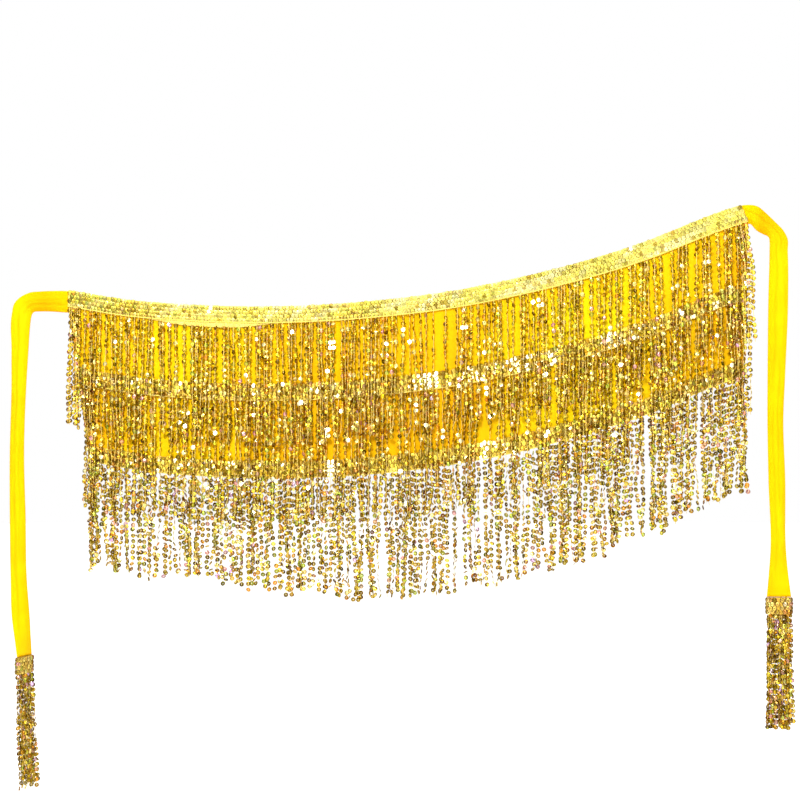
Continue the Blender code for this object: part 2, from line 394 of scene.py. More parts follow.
along = edged(0, 1, 240, 0.0006)[None, :]
drop = edged(0, PANEL_TALL, 62, 0.5)[:, None]
points = panel_points(along, drop)
points[..., 1] -= crease_depth(points[..., 0], drop)
flat = np.stack(np.broadcast_arrays(along * waist_length, -drop), axis=-1)

# painted shade that changes along the panel
painted_panel_shade = smooth(PANEL_TONES, points[..., 0])
# painted shadow just below the upper two tapes
under_trim = sum(np.exp(-((drop - top - HEADER_TALL - SHADE_BELOW) / SHADE_REACH) ** 2)
                 for top in TRIM_DROPS[:2])
lower = LOWER_WARMTH * soft_step(TRIM_DROPS[1], TRIM_DROPS[1] + HEADER_TALL, drop)
shade = np.clip(np.maximum(TAPE_SHADE * under_trim, painted_panel_shade + lower), 0, 1)
# on the back, painted shade where each tape lies on the other side of the cloth
trim_in_front = sum(soft_step(-1, 1, drop - top) * soft_step(-1, 1, top + HEADER_TALL - drop)
                    for top in TRIM_DROPS)
back_shade = np.clip(TAPE_SHADE * trim_in_front + 0.5 * painted_panel_shade, 0, 1)

panel = cloth_shell("ground_panel_cloth", points, PANEL_THICK, flat, panel_knit,
                    shade, back_shade)
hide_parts("ground_panel")
print("panel cloth:", len(panel.data.vertices), "points")

# %% [markdown]
# ## Sequins as one shape, repeated
#
# A sequin is a 6 mm disc of holographic foil with a hole for the thread. Real
# instances would be light, but every copy has to be a mesh in the end, so one
# small ring is written once and laid at every place by multiplying it with that
# place's three directions. Its rim is thin, and it is cupped a little towards
# its hole, so that its facets catch the light one by one.

# %% The sequin's shape
SEQUIN_RADIUS = 3.05
SEQUIN_HOLE = 0.55  # the hole's radius
SEQUIN_CUP = 0.75   # the hole's edge stands this far in front of the rim
SEQUIN_FOIL = 0.16  # how thick the foil is at the hole
SEQUIN_SIDES = 8


def sequin_shape(radius):
    """Three rings of points, the rim and the hole's two edges, and the quads between them.

    Axes: the first two lie in the sequin and the third points out of its front.
    """
    sides = SEQUIN_SIDES
    here = np.arange(sides)
    angle = here * 2 * np.pi / sides
    ring = np.stack([np.cos(angle), np.sin(angle), np.zeros(sides)], axis=1)
    out = np.array([0, 0, 1.0])
    rim = ring * radius
    front = ring * SEQUIN_HOLE + out * (SEQUIN_CUP + SEQUIN_FOIL)
    back = ring * SEQUIN_HOLE + out * SEQUIN_CUP
    after = (here + 1) % sides
    rim_to_front = [here, after, after + sides, here + sides]
    rim_to_back = [after, here, here + 2 * sides, after + 2 * sides]
    through_hole = [here + sides, after + sides, after + 2 * sides, here + 2 * sides]
    faces = np.concatenate([np.stack(f, axis=1) for f in (rim_to_front, rim_to_back, through_hole)])
    return np.concatenate([rim, front, back]), faces


print("one sequin has", *(len(rows) for rows in sequin_shape(SEQUIN_RADIUS)), "points and quads")

# %% Laying sequins out
KEY_PLACE = (-0.9, -2.0, 1.35)      # metres; the lamp that makes the flashes
CENTRE = (-0.446, 0.0, -0.25)
DOWN = np.array([0, 0, -1.0])
FRONT = np.array([0, -1.0, 0])
TO_KEY = unit(np.array(KEY_PLACE) - np.array(CENTRE))
MIRROR_KEY = unit(TO_KEY + FRONT)   # a sequin that faces this way shows the lamp to a level view
LOST_CUP = 0.8      # share of the cup that a quite flat sequin has lost


def squared(vectors, direction):
    """Unit vectors, square to a unit direction once their part along it is taken away."""
    return unit(vectors - direction * (direction * vectors).sum(axis=-1, keepdims=True))


def sequin_piece(name, centre, across, normal, colour, look, flat, radius=SEQUIN_RADIUS, rim=1.0):
    """One mesh of many sequins: each point is centre + a*across + b*up + c*normal.

    flat is a number for each sequin: at 0 it is cupped, and at 1 it is almost a mirror.
    The rim attribute is strongest to either side of across, where the foil turns away; the foil material
    paints shade there.
    """
    shape, shape_faces = sequin_shape(radius)
    normal = unit(normal)
    across = squared(across, normal)
    up = np.cross(normal, across)
    axes = np.stack([across, up, normal * (1 - LOST_CUP * flat[:, None])], axis=1)
    points = centre[:, None, :] + np.einsum("pk,nkd->npd", shape, axes)
    first = np.arange(len(centre))[:, None, None] * len(shape)
    faces = (shape_faces[None] + first).reshape(-1, 4)
    piece = new_piece(name, points.reshape(-1, 3), faces, look)
    attribute = piece.data.attributes.new("foil", "FLOAT_COLOR", "POINT")
    attribute.data.foreach_set("color", np.repeat(colour, len(shape), axis=0).astype(np.float32).ravel())
    beside = np.abs(shape[:, 1]) / radius
    at_rim = np.linalg.norm(shape[:, :2], axis=1) > SEQUIN_HOLE * 1.5
    rims = np.multiply.outer(rim * np.ones(len(centre)), at_rim * (0.55 + 0.45 * beside))
    set_shade(piece.data, rims, "rim")
    set_shade(piece.data, np.repeat(flat, len(shape)), "flat")
    return piece


print("a flash needs a sequin that faces", np.round(MIRROR_KEY, 2).tolist())

# %% The colours of foil
FOIL_HUES = [       # hue from 0 to 1, and the foil's red, green and blue there on screen
    (0.00, 176, 196, 72),       # green of the hologram
    (0.12, 190, 166, 40),       # olive
    (0.34, 234, 184, 30),       # gold
    (0.64, 253, 214, 66),       # pale gold
    (0.82, 242, 164, 40),       # orange gold
    (0.95, 222, 122, 40),       # copper
    (1.00, 240, 176, 196),      # pink of the hologram
]
CREAM = linear(250, 228, 150)
BLUSH = linear(255, 220, 130)       # the pinkish white that foil turns at some angles, a painted reflection
WARM = linear(254, 206, 14)         # foil with yellow cloth just behind it: painted yellow light from that cloth
ORANGE = linear(252, 158, 44)
LIME = linear(190, 212, 70)
PINK = linear(252, 170, 180)
# painted reflections: the hologram's glints, mostly pinkish white
REFLECTION_TINTS = np.array([BLUSH, BLUSH, BLUSH, BLUSH, ORANGE, ORANGE, LIME, LIME, PINK])
REFLECTING = 0.2        # share of the sequins that get a painted reflection of the hologram, which washes out their colour
REFLECTION_STRENGTH = (0.3, 0.9)   # least and most that it does so
IN_SHADE = 0.11     # share of the sequins that lie in shade
SHADE_TONE = 0.36   # and how light they are
SHADING = np.array([0.9, 1.05, 2.0])    # how strongly lightness acts on red, green and blue
SCREEN_CURVE = 2.2  # the power that makes screen values linear
OWN_DRIFT = 0.17    # how far a string's hue drifts in a wave of its own
OWN_WAVE = (40, 130)    # shortest and longest such wave
SHARED_DRIFT = 0.12     # how far it drifts together with its neighbours
SHARED_WAVE = 17    # length on a string for each radian of that wave


def towards(colour, other, share):
    """A colour moved a share of the way to another one."""
    return colour + (np.array(other) - colour) * share


def foil_colours(rng, hue, wash=CREAM, share=0.0, tone=1.0, contrast=0.3):
    """One foil colour for each hue, mixed towards one colour, then made lighter or darker; some get
    painted shade and some a painted reflection.

    Lightness goes up and down evenly in its logarithm; blue changes most, so dark foil
    is brown and light foil is cream.
    """
    count = len(hue)
    table = np.array(FOIL_HUES, dtype=float)
    screen = np.stack([np.interp(hue, table[:, 0], table[:, c]) for c in (1, 2, 3)], axis=-1) / 255
    colour = towards(screen ** SCREEN_CURVE, wash[:3], share)
    lightness = np.exp(rng.normal(0, contrast, count))
    lightness = lightness * np.where(rng.random(count) < IN_SHADE, SHADE_TONE, 1.0)
    colour = np.clip(tone * colour * lightness[:, None] ** SHADING, 0, 1)
    # painted reflection: some sequins move towards a glint's colour
    reflected_share = np.where(rng.random(count) < REFLECTING, rng.uniform(*REFLECTION_STRENGTH, count), 0.0)
    colour = towards(colour, REFLECTION_TINTS[rng.integers(len(REFLECTION_TINTS), size=count), :3], reflected_share[:, None])
    return np.concatenate([colour, np.ones((count, 1))], axis=1)


def drifting_hue(rng, distance, middle, spread):
    """A hue for each place on each string, which drifts along it and from string to string."""
    number = np.arange(len(distance))[:, None]
    phase = rng.uniform(0, 2 * np.pi, number.shape)
    own = np.sin(2 * np.pi * distance / rng.uniform(*OWN_WAVE, number.shape) + phase)
    shared = np.sin(number * 0.8 + distance / SHARED_WAVE + 2 * np.sin(number * 0.31))
    scatter = rng.normal(0, spread, distance.shape)
    return np.clip(middle + OWN_DRIFT * own + SHARED_DRIFT * shared + scatter, 0, 1)


print("foil hues:", len(FOIL_HUES), "and washes:", len(REFLECTION_TINTS))

# %% [markdown]
# ## Holographic foil
#
# The foil is embossed with tiny mirrors, each tilted its own way. Voronoi cells
# do the same: every cell has one random colour, which tilts the normal a little
# and shifts the hue towards pink or green. The foil itself is a smooth metal,
# with painted shade at each sequin's rim.

# %% The foil material
FACET = 1.3         # millimetres across one embossed facet
FACET_TILT = 0.42
TILT_WHEN_FLAT = 0.08   # share of that tilt that a quite flat sequin keeps
HOLOGRAM = 0.28     # how far the strongest facets go towards pink or green
RIM_BAND = (0.47, 0.74)     # where on its way out to the rim the foil darkens with painted shade


def vector_math(tree, operation, *inputs):
    """The result of a vector operation on its inputs, in their order."""
    return add_node(tree, "VectorMath", dict(enumerate(inputs)), operation=operation).outputs[0]


def scaled(tree, vector, factor):
    """A vector, or a colour, times a number."""
    return add_node(tree, "VectorMath", {0: vector, "Scale": factor}, operation="SCALE").outputs[0]


def facet_normal(tree, cell_colour):
    """The surface's normal plus a tilt made from each cell's own colour, less on flat sequins."""
    tilt = vector_math(tree, "MULTIPLY_ADD", cell_colour, (FACET_TILT,) * 3, (-FACET_TILT / 2,) * 3)
    kept = in_range(tree, stored(tree, "flat"), 0, 1, 1.0, TILT_WHEN_FLAT)
    normal = add_node(tree, "NewGeometry").outputs["Normal"]
    return vector_math(tree, "NORMALIZE", vector_math(tree, "ADD", scaled(tree, tilt, kept), normal))


def foil(name, roughness, metallic, rim_shade_strength, rim_shade_colour):
    """Metal foil that reads its colour from the mesh, with tilted facets and painted shade at the rim.
    """
    look, tree, shader = new_look(name)
    cells = add_node(tree, "TexVoronoi", {"Vector": place_on(tree), "Scale": 1000 / FACET})
    luck = add_node(tree, "SeparateColor", {0: cells.outputs["Color"]}).outputs
    pink = in_range(tree, luck[0], 0.80, 1.0, 0.0, HOLOGRAM)
    green = in_range(tree, luck[1], 0.80, 1.0, 0.0, HOLOGRAM)
    base = mixed_colour(tree, pink, stored(tree, "foil", "Color"), linear(250, 184, 160))
    base = mixed_colour(tree, green, base, linear(176, 214, 96))
    # painted shade at the rim, where the foil turns away
    edge = in_range(tree, stored(tree, "rim"), *RIM_BAND, 0.0, rim_shade_strength)
    plug(tree, shader, {
        "Base Color": mixed_colour(tree, edge, base, rim_shade_colour),
        "Roughness": in_range(tree, luck[2], 0, 1, roughness - 0.08, roughness + 0.12),
        "Normal": facet_normal(tree, cells.outputs["Color"]),
        "Metallic": metallic,
        "Specular Tint": linear(255, 222, 120),
        "Specular IOR Level": 0.3,
    })
    return look


# the last colour is the painted shade at each sequin's rim
sequin_foil = foil("gold_hologram_foil", 0.26, 0.85, 0.8, linear(86, 48, 2))
band_foil = foil("satin_hologram_foil", 0.42, 0.7, 0.92, linear(104, 74, 8))
print("one facet of the foil is", FACET, "mm across")

# %% [markdown]
# ## Thread and tape
#
# The strings are chain stitched in pale yellow thread. Each header is a woven
# tape that the sequins are sewn to in four rows, and a yellow cord of chain
# stitch covers the line where the strings leave it. Curves with a bevel would
# make thousands of objects, so one function lays rings along all the paths at
# once. Threads are three-sided, because nobody sees more sides on half a
# millimetre.

# %% Tubes along paths
THREAD_SIDES = 3


def tubes(name, paths, radius, sides, look):
    """Closed tubes along paths, an array of tubes x places x 3.

    Each ring lies square to the path, with its first point towards the front.
    radius is one number, or one for each place on each path.
    """
    tube_count, places = paths.shape[:2]
    along_path = unit(np.gradient(paths, axis=1))
    first = squared(FRONT, along_path)
    second = np.cross(along_path, first)
    angle = np.arange(sides) * 2 * np.pi / sides
    thick = np.broadcast_to(radius, (tube_count, places))[..., None, None]
    ring = first[:, :, None] * np.cos(angle)[:, None] + second[:, :, None] * np.sin(angle)[:, None]
    points = paths[:, :, None] + ring * thick
    each = places * sides
    quads = grid_quads(places, sides, wrap=True)[:, ::-1]
    start = np.arange(tube_count)[:, None] * each
    faces = (quads[None] + start[:, :, None]).reshape(-1, 4).tolist()
    faces += (start + np.arange(sides)[::-1]).tolist()
    faces += (start + each - sides + np.arange(sides)).tolist()
    piece = new_piece(name, points.reshape(-1, 3), faces, look)
    piece.data.shade_smooth()
    return piece


print("on a thread that hangs straight, a ring starts towards", squared(FRONT, DOWN).tolist())

# %% Thread, cord and tape materials
FIBRE_ROUGH = 0.7


def spun(name, colour, dark, scale):
    """Spun or woven fibre: two colours mixed by fine noise, and a bump from the same noise."""
    look, tree, shader = new_look(name)
    fibre = noise_on(tree, place_on(tree), scale, 4)
    plug(tree, shader, {
        "Base Color": mixed_colour(tree, in_range(tree, fibre, 0.35, 0.65), dark, colour),
        "Roughness": in_range(tree, fibre, 0.3, 0.7, FIBRE_ROUGH + 0.1, FIBRE_ROUGH - 0.1),
        "Normal": relief(tree, fibre, 0.6, 0.0002),
        "Sheen Weight": 0.2,
    })
    return look


string_thread = spun("fringe_thread", linear(255, 236, 128), linear(248, 206, 84), 900)
cord_thread = spun("yellow_cord", linear(252, 236, 110), linear(236, 196, 50), 1400)
tape_weave = spun("header_tape", linear(232, 190, 44), linear(170, 122, 22), 1100)
waist_weave = spun("waist_tape", linear(250, 240, 130), linear(240, 206, 70), 1100)
print("fibre materials:", string_thread.name, cord_thread.name, tape_weave.name, waist_weave.name)

# %% [markdown]
# ## The three headers
#
# A header is 20 mm of tape sewn flat on the panel. On it the sequins overlap
# like shingles, so the band looks almost solid, and only their holes show as
# rows of dots. A bump could draw them, but real discs give the band its ragged
# edge too. On the waistband they are paler, since they lie flatter and face the
# light; that paleness is painted light in their colour.

# %% Header tapes
HEADER_OUT = 1.7    # a tape's middle stands this far in front of the panel's middle
SEQUINS_OUT = HEADER_OUT + 1.0
TAPE_THICK = 0.6
TAPE_BELOW = 0.9    # a tape shows this far under the cord
TAPE_WIDER = (6.0, 0, 0)        # how much further each tape reaches down on one stretch
BARE_PLACE = (0.212, 0.075)     # the middle and half the length of that stretch, as shares of the waist


def header_points(along, drop, out=HEADER_OUT):
    """Points in front of the panel's own middle surface, without its small creases."""
    points = panel_points(along, drop)
    points[..., 1] -= out
    return points


def on_bare_stretch(along):
    """1 where the tape reaches down furthest, and exp(-u^4) away from there."""
    return np.exp(-((along - BARE_PLACE[0]) / BARE_PLACE[1]) ** 4)


def header_tape(number, top):
    """The tape: a long strip of cloth that stands for the trim's plain solid."""
    along = edged(0, 1, 300, 0.0006)[None, :]
    wider = TAPE_WIDER[number - 1] * on_bare_stretch(along)
    drop = top + edged(0, 1, 6, 0.02)[:, None] * (HEADER_TALL + TAPE_BELOW + wider)
    flat = np.stack(np.broadcast_arrays(along * waist_length, -drop), axis=-1)
    weave = waist_weave if number == 1 else tape_weave
    tape = cloth_shell(f"header_tape_{number}", header_points(along, drop), TAPE_THICK, flat, weave)
    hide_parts(f"fringe_tier_{number}")
    return tape


print("a header's tape is", HEADER_TALL + TAPE_BELOW, "mm tall, and up to", max(TAPE_WIDER), "mm more")

# %% Rows of sequins on a header
HEADER_ROWS = 4
HEADER_ROW_STEP = 4.9
HEADER_PITCH = 4.5  # from one sequin of a row to the next
HEADER_COLUMNS = int(waist_length / HEADER_PITCH)
HEADER_LOOSE = (0.5, 1.2, 1.2)      # how far each header's sequins have shifted, in mm
LOOSE_DOWN = 0.6    # up and down it is this share of that
HEADER_ENDS = (0.0025, 0.9975)      # no sequin reaches past the ends of its header


def header_layout(rng, number, top):
    """Shares of the waist and drops of a header's sequins; every second row is half a pitch along."""
    row = np.arange(HEADER_ROWS)[:, None]
    shape = (HEADER_ROWS, HEADER_COLUMNS)
    loose = HEADER_LOOSE[number - 1]
    at = (np.arange(HEADER_COLUMNS) + 0.5) / HEADER_COLUMNS + (row % 2) * 0.5 / HEADER_COLUMNS
    at = np.clip(at + rng.normal(0, loose / waist_length, shape), *HEADER_ENDS)
    level = top + (row + 0.52) * HEADER_ROW_STEP + rng.normal(0, LOOSE_DOWN * loose, shape)
    return at.ravel(), level.ravel()


print("sequins on each header:", HEADER_ROWS * HEADER_COLUMNS)

# %% Colours along the headers
HEADER_HUE = 0.42   # the middle of the sequins' hues
HUE_SPREAD = 0.2
GREENER_ENDS = 0.3  # how much further towards green it is at the ends
HEADER_LIGHTNESS = ((0.46, 0.96), (0.5, 1.5), (0.5, 1.5))     # darkest and lightest of each header's foil, drawn at random for each sequin
PALE_SPREAD = (0.8, 1.05)       # each sequin is this many times as pale as its place says
WAIST_TONES = [     # x, how pale the waistband's sequins are there, as painted light
    (-862, 0.15), (-830, 0.35), (-740, 0.60), (-680, 0.90), (-560, 0.85), (-535, 0.60),
    (-505, 0.65), (-470, 0.92), (-380, 1.00), (-230, 1.04), (-120, 1.20), (-60, 1.28), (-19, 1.12),
]
LOWER_TONES = [     # the same painted light for the two lower headers
    (-862, 0.40), (-700, 0.55), (-560, 0.75), (-460, 0.90), (-380, 1.00), (-240, 1.00),
    (-170, 0.90), (-100, 0.60), (-15, 0.45),
]
HEADER_TONES = (WAIST_TONES, LOWER_TONES, LOWER_TONES)
# the pale colour that painted light turns each header's foil towards
HEADER_FOIL = (linear(234, 220, 90), linear(250, 216, 84), linear(250, 216, 84))
BRIGHTER = 0.8      # painted light: how much brighter foil gets for each 1 that it is paler than pale
DULL_TINT = ((0.56, 0.46, 0.26), (0.5, 0.36, 0.12), (0.5, 0.36, 0.12))    # what shade does to it
DULL = (       # share of the sequins that lie in shade, for each header's rows from the top
    (0.04, 0.05, 0.14, 0.08), (0.20, 0.20, 0.20, 0.20), (0.20, 0.20, 0.20, 0.20),
)
PATCH_WHITE = linear(255, 253, 214)     # painted reflections: the waistband reflects white and peach patches
PATCH_PEACH = linear(252, 224, 140)
PATCH_SHARE = 0.38
PATCH_WAVES = (9, 31, 5, 47)    # mm for each radian: along, wandering, down, coming and going


def header_colours(rng, number, at, x, level):
    """A colour for each of a header's sequins, and how pale the header is there, which is painted light.

    The waistband also gets painted reflections: white and peach patches, on either side of one wandering
    wave.
    """
    which = number - 1
    count = len(at)
    greener = GREENER_ENDS * np.abs(2 * at - 1) ** 3
    colour = foil_colours(rng, np.clip(rng.normal(HEADER_HUE - greener, HUE_SPREAD, count), 0, 1))
    # paleness is painted light
    pale = smooth(HEADER_TONES[which], x)[:, None] * rng.uniform(*PALE_SPREAD, (count, 1))
    colour = towards(colour, HEADER_FOIL[which], np.clip(pale, 0, 1))
    sequin_lightness = rng.uniform(*HEADER_LIGHTNESS[which], (count, 1))
    # painted light makes foil brighter where it is paler than pale
    colour[:, :3] *= sequin_lightness * (1 + BRIGHTER * np.maximum(pale - 1, 0))
    if number == 1:
        along, wander, down, fade = PATCH_WAVES
        wave = np.sin(x / along + 3 * np.sin(x / wander) + level / down) * np.sin(x / fade + 1)
        # painted reflections
        for patch, side in ((PATCH_WHITE, wave), (PATCH_PEACH, -wave)):
            colour = towards(colour, patch, PATCH_SHARE * pale * np.clip(side, 0, 1)[:, None])
    dull = rng.random(count) < np.repeat(DULL[which], HEADER_COLUMNS)
    colour[dull, :3] *= DULL_TINT[which]
    return colour, pale[:, 0]


print("the waistband's tone is set at", len(WAIST_TONES), "places along it")

# %% The headers' sequins
HEADER_SEED = 40
HEADER_TILT = 0.07  # how far a sequin leans, since its edge lies on its neighbour
HEADER_UP = 0.08    # how far it looks up
HEADER_TURN = 0.12  # and how far it turns at random for each mm that it has shifted
HEADER_RADIUS = 3.2
HEADER_FLAT = 0.8
RIM_DARK = (0.73, 1.0, 1.0)     # how dark the painted shade is at the sides of each header's pale sequins
RIM_MORE = 0.35     # and how much darker that painted shade is where the header is not pale
RIM_GROUPS = (0.17, 0, 0)       # how much that comes and goes along each header
RIM_WAVES = (21, 63, 9)         # mm for each radian: along, wandering, down
# painted highlight: the colour of a header sequin that mirrors the lamp
GLEAM = linear(255, 246, 186)
GLEAM_SPREAD = 0.04
HEADER_GLEAMS = [   # header, x of a patch that mirrors the light, half its width, share of its sequins
    (2, -412, 17, 1.0), (2, -350, 26, 0.5), (2, -284, 40, 0.45), (2, -176, 18, 0.7), (2, -540, 14, 0.4),
    (3, -534, 9, 1.0), (3, -330, 20, 0.4), (2, -730, 120, 0.1), (1, -160, 14, 0.08), (1, -700, 60, 0.03),
    (3, -700, 120, 0.08), (3, -140, 90, 0.1), (2, -90, 60, 0.15),
]


def header_sequins(number, top):
    """A header's sequins: each faces the front, leans along its row, and is turned a little."""
    rng = np.random.default_rng(HEADER_SEED + number)
    at, level = header_layout(rng, number, top)
    count = len(at)
    loose = HEADER_LOOSE[number - 1]
    centre = header_points(at, level, SEQUINS_OUT)
    x = centre[:, 0]
    across = unit(header_points(np.minimum(at + 0.002, 1), level, SEQUINS_OUT) - centre)
    hanging = np.tile(DOWN, (count, 1))
    normal = unit(np.cross(hanging, across))
    normal = normal + across * (HEADER_TILT + rng.normal(0, HEADER_TURN * loose, (count, 1)))
    normal[:, 2] += rng.normal(HEADER_UP, HEADER_TURN * loose, count)
    colour, pale = header_colours(rng, number, at, x, level)
    gleam = sum(share * np.exp(-((x - middle) / half) ** 4)
                for on, middle, half, share in HEADER_GLEAMS if on == number)
    gleaming = rng.random(count) < gleam
    normal[gleaming] = MIRROR_KEY + rng.normal(0, GLEAM_SPREAD, (gleaming.sum(), 3))
    # painted highlight
    colour[gleaming] = GLEAM
    along, wander, down = RIM_WAVES
    groups = RIM_GROUPS[number - 1] * np.sin(x / along + 2 * np.sin(x / wander + level / down))
    # painted shade at the sides of each sequin
    rim = np.clip(RIM_DARK[number - 1] + groups + RIM_MORE * (1 - pale), 0, 1)
    flat = np.where(gleaming, 1.0, HEADER_FLAT)
    return sequin_piece(f"header_sequins_{number}", centre, hanging, normal, colour, band_foil, flat,
                        HEADER_RADIUS, rim)


print("patches of the headers that mirror the light:", len(HEADER_GLEAMS))

# %% The headers' cords, and all three headers
CORD_STEP = 0.9     # from one ring of the cord to the next
CORD_STITCH = 3.4   # rings to each chain stitch
CORD_SIDES = 7
CORD_THICK = 0.75   # its radius on average
CORD_SWELL = 0.2    # how much a stitch adds to that and takes away


def header_cord(number, top):
    """The cord along a header's lower edge: a tube that swells and thins with each stitch."""
    steps = int(waist_length / CORD_STEP)
    along = np.linspace(0.001, 0.999, steps)
    path = header_points(along, np.full(steps, top + HEADER_TALL + 0.2), SEQUINS_OUT)
    swell = CORD_THICK + CORD_SWELL * np.sin(np.arange(steps) * 2 * np.pi / CORD_STITCH)
    return tubes(f"header_cord_{number}", path[None], swell[None], CORD_SIDES, cord_thread)


headers = [
    (header_tape(number, top), header_sequins(number, top), header_cord(number, top))
    for number, top in enumerate(TRIM_DROPS, start=1)
]
print("pieces of the headers:", [piece.name for header in headers for piece in header])

# %% [markdown]
# ## Fringe strings
#
# Each trim has 140 to 198 strings. A maker turns a string at its end and brings it
# back up as its neighbour, so every pair ends in a loop. Here the ends of a pair
# only lean towards each other, and no thread joins them. A hair system could hang
# the strings too, but here a string is a function of the distance along it: its
# place across adds a slow drift, a clump that pulls neighbours together, and the
# lean of each pair; its depth adds the panel's own folds. Sequins and threads
# follow the same function. Nothing keeps two sequins apart, so neighbours that
# hang closer than they are wide cut into each other.

# %% How the strings are set
TRIM_STRINGS = (140, 142, 198)
TRIM_SPACING = ((0.42, 0.05), (0.40, 0.04), (0.30, 0.03))   # how uneven, share of wide gaps
WIDE_GAP = 2.0      # such a gap is this many times as wide
WIDEST_GAP = 2.6    # and no gap is wider than this many steps
CROWDED = 5         # gaps at each end of a trim are narrower:
CROWDING = (0.38, 0.45)     # this many times as wide at the left and at the right end
ROOT_INSET = 0.0035     # the outermost roots keep this share of the waist inside its ends
STRING_OUT = 3.6    # at its root a string hangs this far in front of the panel's middle
UPPER_FALL = [(-863, 151), (-9, 151)]
LOW_FALL = [        # x, length of the lowest trim's strings there
    (-836, 133), (-715, 128), (-590, 141), (-480, 154), (-300, 157), (-190, 149), (-15, 143),
]
TRIM_FALLS = (UPPER_FALL, UPPER_FALL, LOW_FALL)
UNEVEN_ENDS = 4.0
PARTINGS = [        # trim, x where its strings part, how far they swing aside, over how wide a stretch
    (1, -752, 3, 12), (1, -591, 5, 14), (1, -326, 5, 12), (1, -231, 3, 10), (1, -184, 7, 14),
    (1, -136, 7, 14), (1, -89, 4, 12), (2, -690, 4, 14), (2, -430, 4, 12), (2, -300, 5, 14),
    (2, -150, 5, 14), (3, -620, 4, 14), (3, -420, 4, 12), (3, -210, 5, 14), (3, -110, 4, 12),
]
TRIM_LEAN = (1.0, 1.0, 1.1)     # how strongly each trim's strings lean out of their places
LEAN_SPREAD = 2.6   # mm that a string leans of its own accord
CLUMP_STEP = 0.21   # neighbours also lean together, in waves that turn by this much a string
CLUMP_WAVES = ((2.8, 2.9, 0.0), (2.0, 6.1, 1.0))    # reach in mm, how many times as fast, start
LEAN_AT_ENDS = 0.45     # at the trim's ends strings lean only this much of it
END_STRETCH = 0.05  # share of the trim that counts as its end
LAYERS = (-0.8, 1.2)    # strings hang this far behind and in front of their middle surface
LOOP_LONG = (6, 18)     # a pair closes over this much of its length
LOOP_CLOSED = (0.15, 0.5)       # and each string goes this share of the way to the other
TRIM_SWAY = (0.8, 1.2, 1.9)     # how far they sway to either side on their way down, in mm
TRIM_KINKS = (0.25, 0.4, 0.6)   # how far their small kinks reach
KINK_WAVE = (24, 46)
END_FLARE = [       # place along the trim, how far each trim's strings swing to the right there
    (0.0, 0.5, 8.0, -1.5), (0.02, -0.5, 5.0, -0.5), (0.05, 0.0, 1.5, 0.0), (0.09, 0.0, 0.0, 0.0),
    (0.965, 0.0, 0.0, 0.0), (0.985, 3.5, 3.0, 2.0), (1.0, 8.0, 6.0, 4.0),
]


def spaced(rng, count, uneven, gaps):
    """Places from 0 to 1 for the strings' roots: uneven steps, some wide gaps, crowded ends."""
    step = np.exp(rng.normal(0, uneven, count - 1))
    step[rng.random(count - 1) < gaps] *= WIDE_GAP
    step = np.minimum(step, WIDEST_GAP)
    step[:CROWDED] *= CROWDING[0]
    step[-CROWDED:] *= CROWDING[1]
    place = np.concatenate([[0], np.cumsum(step)])
    return ROOT_INSET + (1 - 2 * ROOT_INSET) * place / place[-1]


def string_set(number, top, rng):
    """Roots, lengths and random traits of a trim's strings: each trait is a column, count x 1."""
    which = number - 1
    count = TRIM_STRINGS[which]
    along = spaced(rng, count, *TRIM_SPACING[which])
    root = header_points(along, np.full(count, float(top + HEADER_TALL)), STRING_OUT)
    pair = np.arange(count) // 2
    uneven = rng.normal(0, UNEVEN_ENDS, count // 2)[pair]
    slow = np.arange(count) * CLUMP_STEP + number * 1.7
    clump = sum(reach * np.sin(slow * fast + start) for reach, fast, start in CLUMP_WAVES)
    inside = soft_step(0, END_STRETCH, along) * soft_step(0, END_STRETCH, 1 - along)
    middle = root[:, 0].reshape(-1, 2).mean(axis=1)[pair]
    parted = sum(aside * np.sign(middle - x) * np.exp(-np.abs(middle - x) / wide)
                 for on, x, aside, wide in PARTINGS if on == number)
    own_lean = rng.normal(0, LEAN_SPREAD, count)
    held = LEAN_AT_ENDS + (1 - LEAN_AT_ENDS) * inside
    columns = {
        "along": along,
        "at_end": 1 - inside,
        "x": root[:, 0],
        "y": root[:, 1],
        "z": root[:, 2],
        "fall": smooth(TRIM_FALLS[which], root[:, 0]) + uneven,
        "lean": TRIM_LEAN[which] * (clump + own_lean) * held + parted,
        "flare": np.interp(along, np.array(END_FLARE)[:, 0], np.array(END_FLARE)[:, number]),
        "sway": rng.normal(0, TRIM_SWAY[which], count),
        "phase": rng.uniform(0, 2 * np.pi, count),
        "layer": rng.uniform(*LAYERS, count),
        "kink_wave": rng.uniform(*KINK_WAVE, count),
        "loop": rng.uniform(*LOOP_LONG, count // 2)[pair],
        "closed": rng.uniform(*LOOP_CLOSED, count // 2)[pair],
        "side": np.where(np.arange(count) % 2 == 0, 1.0, -1.0),
    }
    strings = {name: column[:, None] for name, column in columns.items()}
    return SimpleNamespace(kinks=TRIM_KINKS[which], **strings)


print("strings of each trim:", TRIM_STRINGS)

# %% The fall of the strings
STRING_FORWARD = [(0.0, 0.0), (0.3, 2.2), (0.63, 4.6), (1.0, 5.6)]      # share hung, how far in front
SWAY_TURN = 9.0     # radians that the sway goes through from root to end
FLARE_DONE = 0.4    # share of the length over which the swing outwards grows


